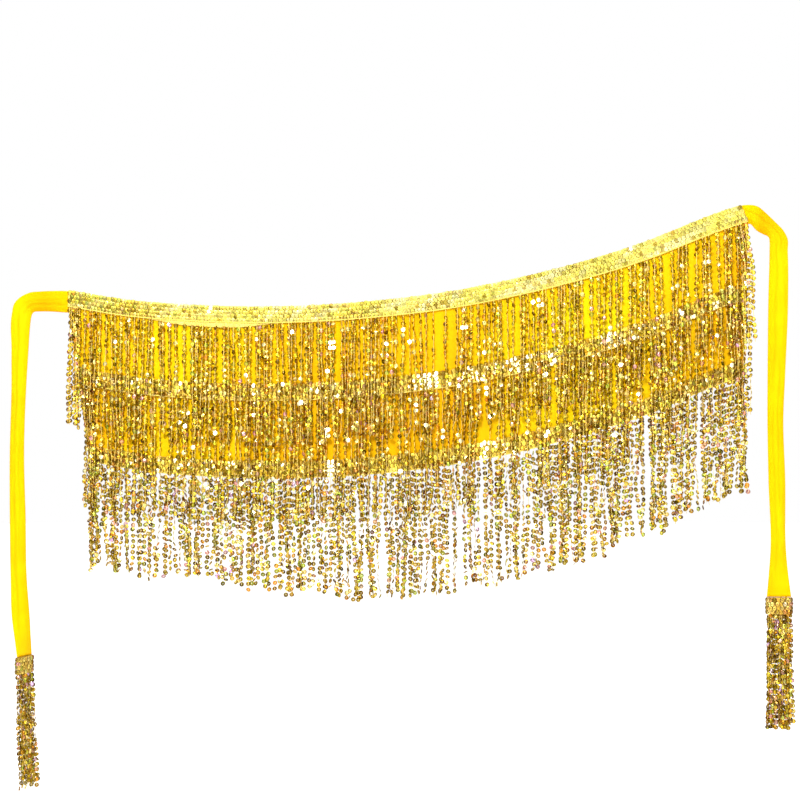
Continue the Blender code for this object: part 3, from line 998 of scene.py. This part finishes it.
def string_place(strings, distance):
    """Points on every string at the distances given, an array of strings x places.

    x adds a lean that grows with the share hung, a sway of one and a half waves,
    small kinks, the lean of each pair towards each other, and the swing outwards
    at the trim's ends. y keeps in front of the panel's folds.
    """
    share = np.clip(distance / strings.fall, 0, 1)
    closing = soft_step(0, 1, (distance - (strings.fall - strings.loop)) / strings.loop)
    apart = np.diff(strings.x.reshape(-1, 2), axis=1).repeat(2, axis=0)
    kink_turn = distance * 2 * np.pi / strings.kink_wave + strings.phase * 3
    x = strings.x + strings.lean * share ** 1.6
    x = x + strings.sway * np.sin(share * SWAY_TURN + strings.phase) * share
    x = x + strings.kinks * np.sin(kink_turn)
    x = x + strings.side * strings.closed * apart * closing
    x = x + strings.flare * soft_step(0, FLARE_DONE, share)
    z = strings.z - np.minimum(distance, strings.fall)
    waist = smooth(WAIST_EDGE, strings.x)
    behind = panel_depth(x, np.minimum(waist - z, PANEL_TALL))
    behind = behind - panel_depth(strings.x, waist - strings.z)
    forward = np.interp(share, *np.array(STRING_FORWARD).T) + strings.layer * share ** 0.5
    return np.stack([x, strings.y + behind - forward, z], axis=-1)


print("the ends of the strings hang up to", STRING_FORWARD[-1][1], "mm in front of their roots")

# %% Where the sequins sit on the strings
TRIM_PITCH = (7.3, 7.1, 6.9)    # from one sequin to the next
UNEVEN_PITCH = 0.004
FIRST_SEQUIN = 5.0  # bare thread under the header
TRIM_BARE = (3.5, 0, 0)     # more of it where the waistband's tape is wider
TRIM_SHIFT = ((0.4, 0.3), (1.0, 0.4), (3.4, 0.6))   # how uneven the first sequin and the others are
MISSING = 0.012     # share of the sequins that have come off


def sequin_distances(rng, number, strings):
    """How far down its string each sequin hangs, and which of them are there."""
    which = number - 1
    each = strings.fall.shape
    first_shift, shift = TRIM_SHIFT[which]
    first_shift = first_shift + 2.0 * strings.at_end
    most = int(strings.fall.max() / TRIM_PITCH[which]) + 2
    pitch = TRIM_PITCH[which] * (1 + rng.normal(0, UNEVEN_PITCH, each))
    bare = TRIM_BARE[which] * on_bare_stretch(strings.along)
    distance = FIRST_SEQUIN + bare + first_shift * rng.normal(0, 1, each) + np.arange(most) * pitch
    distance = distance + rng.normal(0, shift, distance.shape)
    there = rng.random(distance.shape) > MISSING
    return distance, there & (distance < strings.fall - 0.5)


print("mm from one sequin to the next:", TRIM_PITCH)

# %% Which way they face
TRIM_TURN = (38, 48, 34)    # strings face up to this many degrees to either side
TWISTED = [(0, 1.5), (0.18, 1.1), (0.3, 1.0), (0.42, 1.9), (0.66, 1.8), (0.75, 1.0), (1, 1.4)]
TRIM_SWING = ((12, 45), (20, 60), (15, 60))     # and twist by this many degrees on their way down
SWING_WAVE = (60, 170)
OWN_TURN = 12       # and each sequin turns by this many of its own
TRIM_TILT = (13, 15, 22)    # how far sequins tip forwards or back, in degrees


def string_turns(rng, number, strings, distance):
    """How far each sequin turns about its thread and how far it tips, in radians.

    A string faces one way on the whole, twists in a slow wave on its way down, and each
    sequin adds a little of its own.
    """
    which = number - 1
    each = strings.fall.shape
    wave = rng.uniform(*SWING_WAVE, each)
    swing = np.radians(rng.uniform(*TRIM_SWING[which], each)) * (0.6 + 0.4 * (distance / strings.fall))
    turn = swing * np.sin(2 * np.pi * distance / wave + strings.phase * 2)
    facing_side = TRIM_TURN[which] * smooth(TWISTED, strings.along) * rng.uniform(-1, 1, each)
    turn = turn + np.radians(facing_side + rng.normal(0, OWN_TURN, turn.shape))
    return turn, np.radians(rng.normal(0, TRIM_TILT[which], turn.shape))


def hung(down, front, turn, tilt):
    """The way across and the normals of sequins on threads that run down.

    The front is made square to the thread, turned about it, and then tipped.
    """
    facing = squared(front, down)
    beside = np.cross(down, facing)
    normal = facing * np.cos(turn)[..., None] + beside * np.sin(turn)[..., None]
    return beside, normal * np.cos(tilt)[..., None] - down * np.sin(tilt)[..., None]


print("strings twist by up to", max(most for least, most in TRIM_SWING), "degrees")

# %% Which of them catch the light
FLASHING = 0.013    # share of the sequins that happen to face the light
FLASH_SPOTS = [     # x, z, reach: near these places all sequins face it
    (-747, -108, 5.5), (-802, -151, 4.5), (-738, -148, 5.0), (-531, -153, 6.5), (-274, -102, 7.0),
    (-186, -138, 6.5), (-366, -131, 5.0), (-568, -226, 5.0), (-536, -264, 5.5), (-340, -212, 4.5),
    (-266, -192, 5.0), (-392, -266, 5.0), (-181, -266, 4.5), (-99, -81, 4.5), (-61, -52, 4.5),
]
GLINTING = (0.055, 0.055, 0.04)     # share of each trim's that face it roughly
FLASH_SPREAD = 0.07     # how far a flashing sequin's front strays from the mirror's direction
GLINT_SPREAD = 0.24     # and a glinting one's


def catch_light(rng, number, centre, normal):
    """Turn some sequins to the lamp; returns the normals, and which flash and which glint."""
    luck = rng.random(centre.shape[:-1])
    spot_x, spot_z, reach = np.array(FLASH_SPOTS).T
    away = np.hypot(centre[..., 0, None] - spot_x, centre[..., 2, None] - spot_z)
    flashing = (luck < FLASHING) | (away < reach).any(axis=-1)
    glinting = ~flashing & (luck < FLASHING + GLINTING[number - 1])
    stray = np.where(flashing, FLASH_SPREAD, GLINT_SPREAD)[..., None]
    near_mirror = MIRROR_KEY + rng.normal(0, 1, normal.shape) * stray
    return np.where((flashing | glinting)[..., None], near_mirror, normal), flashing, glinting


print("flashes at set places:", len(FLASH_SPOTS))

# %% Sequins and threads
ASIDE = 0.4         # how far a sequin hangs to one side of its thread
TRIM_HUES = ((0.50, 0.14), (0.48, 0.20), (0.46, 0.25))      # middle hue, and the spread round it
# each trim's foil moves a share towards WARM, the painted light from the cloth
TRIM_FOIL = ((WARM, 0.35, 0.68, 0.40), (WARM, 0.2, 0.64, 0.46), (WARM, 0.15, 0.45, 0.50))
# painted highlights: the colours of sequins that face the lamp squarely, and roughly
FLASH = linear(255, 248, 190)
GLINT = linear(255, 232, 136)
CUPPED = (0, 0.7)   # least and most flat that sequins are which don't flash
TRIM_RIM = (1.0, 1.0, 0.84)     # how dark the painted shade at the sequins' sides is on each trim
STRING_SEED = 70
THREAD_RADIUS = (0.38, 0.36, 0.25)
THREAD_PLACES = 24
THREAD_AHEAD = 0.5  # the chain stitch lies this far in front of the holes on average
THREAD_WEAVE = 1.0  # and swings this far in front of and behind that
WEAVE_WAVE = 43


def string_sequins(rng, number, strings):
    """The sequins of one trim, as one mesh."""
    distance, kept = sequin_distances(rng, number, strings)
    centre = string_place(strings, distance)
    lower = string_place(strings, distance + 1.0)
    down = unit(lower - centre + np.array([0, 0, -1e-6]))
    turn, tilt = string_turns(rng, number, strings, distance)
    beside, normal = hung(down, FRONT, turn, tilt)
    centre = centre + beside * rng.normal(0, ASIDE, turn.shape)[..., None]
    normal, flashing, glinting = catch_light(rng, number, centre, normal)
    hue = drifting_hue(rng, distance, *TRIM_HUES[number - 1])[kept]
    colour = foil_colours(rng, hue, *TRIM_FOIL[number - 1])
    # painted highlights on the sequins turned to the lamp
    colour[flashing[kept]] = FLASH
    colour[glinting[kept]] = GLINT
    flat = np.where(flashing, 1.0, rng.uniform(*CUPPED, turn.shape))[kept]
    return sequin_piece(f"fringe_sequins_{number}", centre[kept], down[kept], normal[kept], colour,
                        sequin_foil, flat, rim=TRIM_RIM[number - 1])


def string_threads(number, strings):
    """The threads of one trim, which weave in front of the sequins and behind them."""
    distance = np.linspace(-0.02, 1, THREAD_PLACES) * strings.fall
    path = string_place(strings, distance)
    ahead = THREAD_AHEAD + THREAD_WEAVE * np.sin(distance * 2 * np.pi / WEAVE_WAVE + strings.phase * 5)
    path[..., 1] -= ahead * soft_step(0, 0.05, distance / strings.fall)
    return tubes(f"fringe_threads_{number}", path, THREAD_RADIUS[number - 1], THREAD_SIDES,
                 string_thread)


def hang_fringe(number, top):
    """One trim's strings: their sequins and their threads."""
    rng = np.random.default_rng(STRING_SEED + number)
    strings = string_set(number, top, rng)
    return string_sequins(rng, number, strings), string_threads(number, strings)


fringes = [hang_fringe(number, top) for number, top in enumerate(TRIM_DROPS, start=1)]
ring_points = len(sequin_shape(SEQUIN_RADIUS)[0])
counts = [len(sequins.data.vertices) // ring_points for sequins, threads in fringes]
print("sequins on the strings of each trim:", counts)

# %% [markdown]
# ## The two ties
#
# Each tie is a strap of the same knit, folded lengthwise and seamed, so its
# edges are round and a soft trough runs down it. A curve with a bevel would
# give a tube; a grid between the strap's two edges gives a flat strap that can
# turn, cup and crease.

# %% Where the straps' edges run
TIE_RIGHT = [       # outer edge x, z; inner edge x, z; depth y; lean; cup
    (-25.0, 17.8, -15.0, -5.0, 1.4, 0, 0), (-17.6, 20.6, -7.4, -2.6, 1.3, 0, 0),
    (0, 20, 0, -11, -3, 2, 1.5), (15, 10, 10, -16, 1, 3, 3), (27, -1, 15, -18, 3, 4, 4),
    (35, -9, 17, -20.5, 3, 5, 5), (40.5, -19, 17.5, -24.5, 2, 4, 6), (41, -37, 17.5, -37, 1, 2, 6.5),
    (41, -99, 16, -99, 0, 0, 6.5), (38, -186, 15.5, -186, 2, 0, 8), (35.5, -249, 15, -249, 2, 3, 8.5),
    (37.5, -324, 16, -324, 0, 2, 8), (38, -411, 18.5, -411, -1, 0, 8), (42, -449, 16, -449, 0, 0, 4),
    (45, -471, 14, -471, 0, 0, 1),
]
TIE_LEFT = [
    (-856.0, -88.2, -857.0, -114, 1.4, 0, 0), (-863.4, -87.0, -864.4, -114, 1.3, 0, 0),
    (-881, -87, -881, -113, -3, -2, 2), (-898, -87.5, -897, -112.5, 1, -3, 3.5),
    (-912, -89, -906, -113, 3, -4, 4.5), (-924, -95, -909, -115.5, 4, -5, 5),
    (-931, -103, -910, -120, 3, -4, 6), (-933.5, -114, -910.5, -126, 2, -2, 6.5),
    (-934, -161, -912.5, -161, 0, 0, 7), (-934, -205, -915, -205, 0, 2, 8.5),
    (-936, -290, -917.5, -290, -1, 3, 8.5), (-936, -374, -916, -374, 0, 0, 8),
    (-935, -449, -915, -449, 1, -2, 8), (-933, -496, -912, -496, 1, -8, 6),
    (-928, -524, -911.5, -524, 0, -19, 3), (-924, -545, -911.5, -545, 0, -28, 0.5),
]
TIE_THICK = 2.0
TIE_CUP = 0.45      # share of the plain strap's cup: the cloth has gone flatter than that
# creases along a strap: where it starts and ends as a share of the length,
# where it lies across the strap at either end, half its width, depth in mm
TIE_CREASES = [
    (0.00, 0.16, 0.30, 0.42, 0.07, -0.9), (0.02, 0.13, 0.62, 0.70, 0.06, 0.8),
    (0.08, 0.52, 0.58, 0.66, 0.08, -1.1), (0.20, 0.44, 0.30, 0.22, 0.09, 0.6),
    (0.38, 0.80, 0.34, 0.40, 0.08, -0.7), (0.48, 0.98, 0.68, 0.60, 0.09, -1.0),
    (0.70, 0.96, 0.20, 0.28, 0.07, 0.6),
]


def tie_creases(share, across, flip):
    """Troughs and ridges along the strap, each a bell across a line that wanders a little."""
    depth = np.zeros(np.broadcast(share, across).shape)
    side = 1 - across if flip else across
    for start, end, at_start, at_end, half, deep in TIE_CREASES:
        t = (share - start) / (end - start)
        line = at_start + (at_end - at_start) * t + 0.03 * np.sin(share * 40 + start * 30)
        window = soft_step(0, 0.22, t) * (1 - soft_step(0.78, 1, t))
        depth += deep * np.exp(-((side - line) / half) ** 2) * window
    return depth


print("creases along each tie:", len(TIE_CREASES))

# %% The straps
GRIP = (34, 24)     # mm from the root to the middle of the stretch that was held, and its reach
INNER_ORANGE = 0.34     # how orange the strap's inner side is, where the cloth is doubled and painted shade lies
# painted shadow of the hand round the stretch that was held
GRIP_ORANGE = 0.6
# painted shade in the troughs of the creases
TROUGH_ORANGE = 0.4
FRONT_SHARE = 0.4   # the side that faces the viewer has this share of it


def strap(name, node, table, flip):
    """A strap between its outer and inner edges, read smoothly along its middle line."""
    rows = np.array(table, dtype=float)
    middle = (rows[:, 0:2] + rows[:, 2:4]) / 2
    walked = np.concatenate([[0], np.cumsum(np.hypot(*np.diff(middle, axis=0).T))])
    at = edged(0, walked[-1], 180, 0.6)[:, None]
    columns = [smooth(np.column_stack([walked, values]), at) for values in rows.T]
    outer_x, outer_z, inner_x, inner_z, depth, lean, cup = columns
    across = edged(0, 1, 22, 0.03)[None, :]
    creases = tie_creases(at / walked[-1], across, flip)
    x = outer_x + (inner_x - outer_x) * across
    y = depth + lean * (0.5 - across) - TIE_CUP * cup * np.sin(np.pi * across)
    z = outer_z + (inner_z - outer_z) * across
    width = np.hypot(rows[:, 0] - rows[:, 2], rows[:, 1] - rows[:, 3]).mean()
    flat = np.stack(np.broadcast_arrays(across * width, -at), axis=-1)
    inner_side = soft_step(0.55, 0.95, across)
    held = np.exp(-((at - GRIP[0]) / GRIP[1]) ** 2)
    troughs = np.clip(-creases, 0, 1)
    # painted shade and doubled cloth, as one share of orange
    shade = np.clip(INNER_ORANGE * inner_side + GRIP_ORANGE * held + TROUGH_ORANGE * troughs, 0, 1)
    front, back = (shade, FRONT_SHARE * shade) if flip else (FRONT_SHARE * shade, shade)
    piece = cloth_shell(name, np.stack([x, y - creases, z], axis=-1), TIE_THICK, flat, tie_knit,
                        front, back)
    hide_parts(node)
    return piece, walked[-1]


tie_right, right_length = strap("tie_right_strap", "tie_right", TIE_RIGHT, False)
tie_left, left_length = strap("tie_left_strap", "tie_left", TIE_LEFT, True)
print(f"the ties are {right_length:.0f} and {left_length:.0f} mm long")

# %% [markdown]
# ## Seams
#
# A machine sews each tape to the panel along both its edges, and each tie to the
# panel's back with two rows across its root. The rows show on the back, where
# nothing hides them, so every stitch there is a short tube that dives into the
# cloth at both ends.

# %% Stitches on the back
STITCH = 3.1
STITCH_STEP = 3.9
STITCH_RADIUS = 0.26
DIVE = np.array([-0.3, 0.12, 0.12, -0.3])   # how far the four places of a stitch stand off the cloth
SEAM_IN = 1.8       # a seam runs this far inside a band's edge
SEAM_DROPS = [top + at for top in TRIM_DROPS for at in (SEAM_IN, HEADER_TALL - SEAM_IN)]
ROOT_SEAMS = (0.35, 0.8)        # shares of the way between the first two rows of a tie's table


def stitch_places(length):
    """Distances along a seam of that length, an array of stitches x 4 places."""
    starts = np.arange(2.0, length - STITCH - 1, STITCH_STEP)
    return starts[:, None] + np.linspace(0, STITCH, 4)


def panel_seam(drop):
    """Stitches along the panel's back at one drop: its middle surface plus half its thickness."""
    along = stitch_places(waist_length) / waist_length
    points = panel_points(along, np.full(along.shape, float(drop)))
    points[..., 1] += PANEL_THICK / 2 - crease_depth(points[..., 0], drop) + DIVE
    return points


def root_seam(table, share):
    """Stitches across a tie's root, share of the way between the table's first two rows."""
    first, second = np.array(table[0]), np.array(table[1])
    row = first + (second - first) * share
    outer, inner = row[[0, 1]], row[[2, 3]]
    width = np.hypot(*(inner - outer))
    t = stitch_places(width)[..., None] / width
    x, z = np.moveaxis(outer + (inner - outer) * t, -1, 0)
    return np.stack([x, row[4] + TIE_THICK / 2 + DIVE + 0 * x, z], axis=-1)


seams = [panel_seam(drop) for drop in SEAM_DROPS]
seams += [root_seam(table, share) for table in (TIE_RIGHT, TIE_LEFT) for share in ROOT_SEAMS]
stitches = tubes("seam_stitches", np.concatenate(seams), STITCH_RADIUS, THREAD_SIDES, cord_thread)
print("stitches on the back:", sum(len(seam) for seam in seams))

# %% [markdown]
# ## The tassels
#
# A tassel is a short length of the fringe trim, folded round the end of the tie
# and sewn shut, so it has a front and a back layer of strings and a sequinned
# band. A flat copy of the trim would look the same from the front, but not from
# the side. So the band is a flattened ring with its sequins all round it.

# %% Tassel bands
TASSEL_HEAD_TALL = 21
TASSEL_WIDE = 32
TASSEL_DEEP = 6.4
TASSEL_RIGHT = (29.7, 0, -471.6, 0, 1)      # x, y, z of the band's upper edge, turn, drift
TASSEL_LEFT = (-917.7, 0, -545.6, 66, 5)
BAND_PLACES = 64    # round the ring
BAND_PROFILE = [    # mm below the upper edge, and how far from the outer wall (0) to the inner (1)
    (0.3, 1), (0, 0.75), (0, 0.25), (0.3, 0), (7, 0), (14, 0),
    (20.7, 0), (21, 0.25), (21, 0.75), (20.7, 1), (14, 1), (7, 1),
]
WALL_IN = (0.06, 0.25)      # the inner wall is this much less wide and less deep


def band_ring(angle, deep=TASSEL_DEEP):
    """Across and back of a flattened ring: a circle with its sides squeezed to a slim oval."""
    across = TASSEL_WIDE / 2 * np.sign(np.cos(angle)) * np.abs(np.cos(angle)) ** 0.75
    back = deep / 2 * np.sign(np.sin(angle)) * np.abs(np.sin(angle)) ** 0.6
    return across, back


def turned(place, across, back, down, share=0.0):
    """Points of a tassel in the frame: turned about the vertical, below its upper edge."""
    x, y, z, turn, drift = place
    heading = np.radians(turn)
    return np.stack(np.broadcast_arrays(
        x + across * np.cos(heading) - back * np.sin(heading) + drift * share,
        y + across * np.sin(heading) + back * np.cos(heading),
        z - down,
    ), axis=-1)


def tassel_band(name, place):
    """The band: an outer and an inner wall, joined by its upper and lower edges."""
    level, inset = np.array(BAND_PROFILE).T[..., None]
    across, back = band_ring(np.arange(BAND_PLACES)[None, :] * 2 * np.pi / BAND_PLACES)
    points = turned(place, across * (1 - WALL_IN[0] * inset), back * (1 - WALL_IN[1] * inset), level)
    rows = len(BAND_PROFILE)
    quads = grid_quads(rows + 1, BAND_PLACES, wrap=True) % (rows * BAND_PLACES)
    band = new_piece(f"{name}_band", points.reshape(-1, 3), quads, tape_weave)
    band.data.shade_smooth()
    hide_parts(name)
    once_round = np.append(np.arange(BAND_PLACES), 0)
    girth = np.hypot(np.diff(across[0, once_round]), np.diff(back[0, once_round])).sum()
    return band, girth


print("a tassel's band is", TASSEL_WIDE, "mm wide and", TASSEL_DEEP, "mm deep")

# %% Sequins on the bands
BAND_ROWS = 4
BAND_FIRST_ROW = 3.0
BAND_ROW_STEP = 5.0
BAND_DEEP = TASSEL_DEEP + 2.2   # of the ring that the sequins' centres lie on
BAND_HUE = (0.55, 0.14)     # the middle, and the spread round it
BAND_FOIL = (CREAM, 0.35, 0.95)     # mixed towards this colour, by this share, and made this light
BAND_FLAT = 0.5
SHADED_SIDE = 4     # the side beyond this far across lies in shade:
SHADED_HUE = 0.3    # its hue is this much further
SHADED_TONE = 0.7   # and its colour this share as light


def band_sequins(rng, name, place, girth):
    """Rows of sequins all round the band, facing away from it and leaning along their row."""
    columns = int(girth / HEADER_PITCH)
    angle = (np.arange(columns) + 0.5) * 2 * np.pi / columns + np.zeros((BAND_ROWS, 1))
    angle = (angle + (np.arange(BAND_ROWS)[:, None] % 2) * np.pi / columns).ravel()
    count = len(angle)
    level = np.repeat(BAND_FIRST_ROW + np.arange(BAND_ROWS) * BAND_ROW_STEP, columns)
    level = level + rng.normal(0, 0.25, count)
    across, back = band_ring(angle, BAND_DEEP)
    centre = turned(place, across, back, level)
    side = unit(turned(place, *band_ring(angle + 0.08, BAND_DEEP), level) - centre)
    normal = unit(np.cross(side, np.tile(-DOWN, (count, 1))))
    normal = normal - side * (HEADER_TILT + rng.normal(0, 0.08, (count, 1)))
    shaded = across > SHADED_SIDE
    hue = np.clip(rng.normal(*BAND_HUE, count) + SHADED_HUE * shaded, 0, 0.95)
    colour = foil_colours(rng, hue, *BAND_FOIL)
    colour[shaded, :3] *= SHADED_TONE
    return sequin_piece(f"{name}_band_sequins", centre, np.tile(DOWN, (count, 1)), normal, colour,
                        sequin_foil, np.full(count, BAND_FLAT), HEADER_RADIUS)


print("rows of sequins on a tassel's band:", BAND_ROWS)

# %% Strings of the tassels
TASSEL_STRINGS = 21
TASSEL_FALL = 142
TASSEL_ENDS = 2.5   # how uneven their lengths are
TASSEL_SPREAD = 1.16    # the tassel's end is this many times as wide as its band
TASSEL_INSET = 2.2  # the outermost string hangs this far inside the band
TASSEL_SWAY = 0.7
TASSEL_BACK = (2.0, 1.2)    # how far each layer hangs from the middle, and how much it then opens
TASSEL_FIRST = (3.0, 1.2)   # bare thread under the band, and how uneven it is
TASSEL_PITCH = 6.3
TASSEL_MOST = 24    # places for sequins on a string
TASSEL_SHIFT = 0.5
TASSEL_SWING = (15, 60)     # degrees by which strings twist
TASSEL_SWING_WAVE = 110
TASSEL_TURN = 22    # degrees that each sequin turns and tips on its own
TASSEL_TILT = 12
TASSEL_HUE = (0.54, 0.27)
TASSEL_FOIL = (WARM, 0.2, 0.54, 0.5)
TASSEL_THREAD = 0.32
TASSEL_THREAD_PLACES = 16


def tassel_strings(rng, name, place):
    """Two layers of strings below a band: their sequins and their threads."""
    outermost = TASSEL_WIDE / 2 - TASSEL_INSET
    start = np.linspace(-outermost, outermost, TASSEL_STRINGS)[:, None]
    layer = np.where(np.arange(TASSEL_STRINGS) % 2 == 0, -1.0, 1.0)[:, None]
    each = layer.shape
    fall = TASSEL_FALL + rng.normal(0, TASSEL_ENDS, each)
    phase = rng.uniform(0, 2 * np.pi, each)

    def strand(distance):
        """Places on every string: they spread towards their ends and sway a little."""
        share = np.clip(distance / fall, 0, 1)
        across = start * (1 + (TASSEL_SPREAD - 1) * share)
        across = across + TASSEL_SWAY * np.sin(share * 7 + phase) * share
        back = layer * (TASSEL_BACK[0] + TASSEL_BACK[1] * soft_step(0, 0.3, share))
        return turned(place, across, back, TASSEL_HEAD_TALL + distance, share)

    first, uneven = TASSEL_FIRST
    distance = first + rng.normal(0, uneven, each) + np.arange(TASSEL_MOST) * TASSEL_PITCH
    distance = distance + rng.normal(0, TASSEL_SHIFT, distance.shape)
    kept = distance < fall - 1
    centre = strand(distance)
    down = unit(strand(distance + 1) - centre)
    heading = np.radians(place[3])
    outwards = np.array([np.sin(heading), -np.cos(heading), 0]) * -layer[..., None]
    swing = np.radians(rng.uniform(*TASSEL_SWING, each))
    turn = swing * np.sin(2 * np.pi * distance / TASSEL_SWING_WAVE + phase)
    turn = turn + np.radians(rng.normal(0, TASSEL_TURN, distance.shape))
    tilt = np.radians(rng.normal(0, TASSEL_TILT, distance.shape))
    _, normal = hung(down, outwards, turn, tilt)
    hue = drifting_hue(rng, distance, *TASSEL_HUE)[kept]
    colour = foil_colours(rng, hue, *TASSEL_FOIL)
    flat = rng.uniform(*CUPPED, distance.shape)[kept]
    sequins = sequin_piece(f"{name}_sequins", centre[kept], down[kept], normal[kept], colour,
                           sequin_foil, flat)
    path = strand(np.linspace(-0.03, 1, TASSEL_THREAD_PLACES) * fall)
    return sequins, tubes(f"{name}_threads", path, TASSEL_THREAD, THREAD_SIDES, string_thread)


def tassel(name, place, seed):
    """A band, its sequins and its strings; returns the band, what hangs on it, and its girth."""
    rng = np.random.default_rng(seed)
    band, girth = tassel_band(name, place)
    return band, [band_sequins(rng, name, place, girth), *tassel_strings(rng, name, place)], girth


right_band, right_parts, girth = tassel("tassel_right", TASSEL_RIGHT, 91)
left_band, left_parts, girth = tassel("tassel_left", TASSEL_LEFT, 92)
print(f"each tassel's trim is {girth:.0f} mm round, with {TASSEL_STRINGS} strings")

# %% [markdown]
# ## How the cloth was cut
#
# The panel is a shallow arc, so its cut has less area than its length times its
# height. The first tape is wider on one stretch. The other tapes and the straps
# are straight, and each fringe hangs from its header.

# %% [markdown]
# ## Stage, light and camera
#
# The floor is pale and the surroundings are white, as in a small studio. An
# image of a room could light it, but a few soft lamps and a world worked out
# from the direction do it without a file. Foil shows what it reflects, so the
# room in front of it has bright and dark parts: a soft key light up and to the
# left of the camera gives the white flashes, and the dimmer room between the
# lights gives the olive and brown.

# %% Pale floor
WHITE = (1, 1, 1, 1)
FLOOR_Z = -0.95
FLOOR_X = -0.45     # its middle, under the scarf
FLOOR_RINGS = (0.01, 1, 3, 9.0)     # radii of the rings of its mesh
FLOOR_SIDES = 96
FLOOR_GLOW = (0.12, 0.75)   # its own light on the scarf, and as the camera sees it


def pale_floor():
    """A large round floor, a fan of quads between rings."""
    angle = np.arange(FLOOR_SIDES) * 2 * np.pi / FLOOR_SIDES
    radius = np.array(FLOOR_RINGS)[:, None]
    x, y = FLOOR_X + radius * np.cos(angle), radius * np.sin(angle)
    points = np.stack([x, y, np.full(x.shape, FLOOR_Z)], axis=-1).reshape(-1, 3)
    mesh = bpy.data.meshes.new("pale_floor")
    mesh.from_pydata(points, [], grid_quads(len(FLOOR_RINGS), FLOOR_SIDES, wrap=True).tolist())
    floor = bpy.data.objects.new("pale_floor", mesh)
    bpy.context.scene.collection.objects.link(floor)
    look, tree, shader = new_look("pale_floor")
    cloudy = in_range(tree, noise_on(tree, place_on(tree), 3), 0.3, 0.7)
    seen = add_node(tree, "LightPath").outputs["Is Camera Ray"]
    plug(tree, shader, {
        "Base Color": mixed_colour(tree, cloudy, (0.86, 0.86, 0.85, 1), (0.92, 0.92, 0.92, 1)),
        "Roughness": 0.8,
        "Emission Color": WHITE,
        "Emission Strength": in_range(tree, seen, 0, 1, *FLOOR_GLOW),
    })
    mesh.materials.append(look)
    floor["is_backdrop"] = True


pale_floor()
print("the floor lies", -FLOOR_Z, "m below the grip")

# %% Surroundings
def grey(level):
    """An opaque grey."""
    return (level, level, level, 1)


def studio_world(front, above, behind):
    """A world whose brightness depends on the direction, and which is white behind the object."""
    world = bpy.data.worlds.new("studio")
    bpy.context.scene.world = world
    world.use_nodes = True
    tree = world.node_tree
    direction = add_node(tree, "TexCoord").outputs["Generated"]
    apart = add_node(tree, "SeparateXYZ", {0: direction}).outputs
    level = mixed_colour(tree, in_range(tree, apart["Y"], -0.7, 0.7), grey(front), grey(behind))
    level = mixed_colour(tree, in_range(tree, apart["Z"], 0.15, 0.8), level, grey(above))
    patches = in_range(tree, noise_on(tree, direction, 3.5, 1), 0.40, 0.62, 0.25, 1.7)
    seen = add_node(tree, "LightPath").outputs["Is Camera Ray"]
    colour = mixed_colour(tree, seen, scaled(tree, level, patches), WHITE)
    plug(tree, tree.nodes["Background"], {"Color": colour, "Strength": 1.0})


studio_world(front=0.26, above=0.6, behind=0.3)
print("the surroundings are called", bpy.context.scene.world.name)

# %% Lights
LIGHTS = [          # name, place, width and height in metres, watts
    ("key", KEY_PLACE, 0.4, 0.4, 75),
    ("fill", (1.1, -2.4, 0.2), 0.5, 0.9, 18),
    ("top", (-0.4, -0.6, 1.5), 1.2, 0.6, 8),
    ("rim_left", (-2.2, 1.2, 0.5), 0.5, 1.2, 12),
    ("rim_right", (1.4, 1.3, 0.4), 0.5, 1.2, 12),
]


def soft_light(name, place, width, height, power):
    """A rectangular soft light that faces the scarf and isn't itself seen."""
    data = bpy.data.lights.new(name, "AREA")
    data.shape = "RECTANGLE"
    data.size, data.size_y = width, height
    data.energy = power
    light = bpy.data.objects.new(name, data)
    light.location = place
    towards_scarf = Vector(CENTRE) - Vector(place)
    light.rotation_euler = towards_scarf.to_track_quat("-Z", "Y").to_euler()
    light.visible_camera = False
    bpy.context.scene.collection.objects.link(light)


for row in LIGHTS:
    soft_light(*row)
print("soft lights:", [row[0] for row in LIGHTS])

# %% Camera
LENS = 85.0
SENSOR = 36.0
VIEW_WIDE = 1.0     # metres across the picture at the object
VIEW_CENTRE = (-0.44625, -0.010, -0.22375)


def level_camera():
    """A level camera in front, far enough back that the picture is VIEW_WIDE across."""
    data = bpy.data.cameras.new("camera")
    data.lens, data.sensor_width = LENS, SENSOR
    camera = bpy.data.objects.new("camera", data)
    bpy.context.scene.collection.objects.link(camera)
    distance = VIEW_WIDE * LENS / SENSOR
    camera.location = (VIEW_CENTRE[0], VIEW_CENTRE[1] - distance, VIEW_CENTRE[2])
    camera.rotation_euler = (np.pi / 2, 0, 0)
    bpy.context.scene.camera = camera
    return distance


print(f"camera {level_camera():.2f} m in front")
bpy.context.scene.view_settings.view_transform = "Standard"

# %% Sizes and the end
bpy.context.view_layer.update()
triangles = {}
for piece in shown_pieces():
    piece.data.calc_loop_triangles()
    triangles[piece.name] = len(piece.data.loop_triangles)
print("triangles:", sum(triangles.values()), triangles)
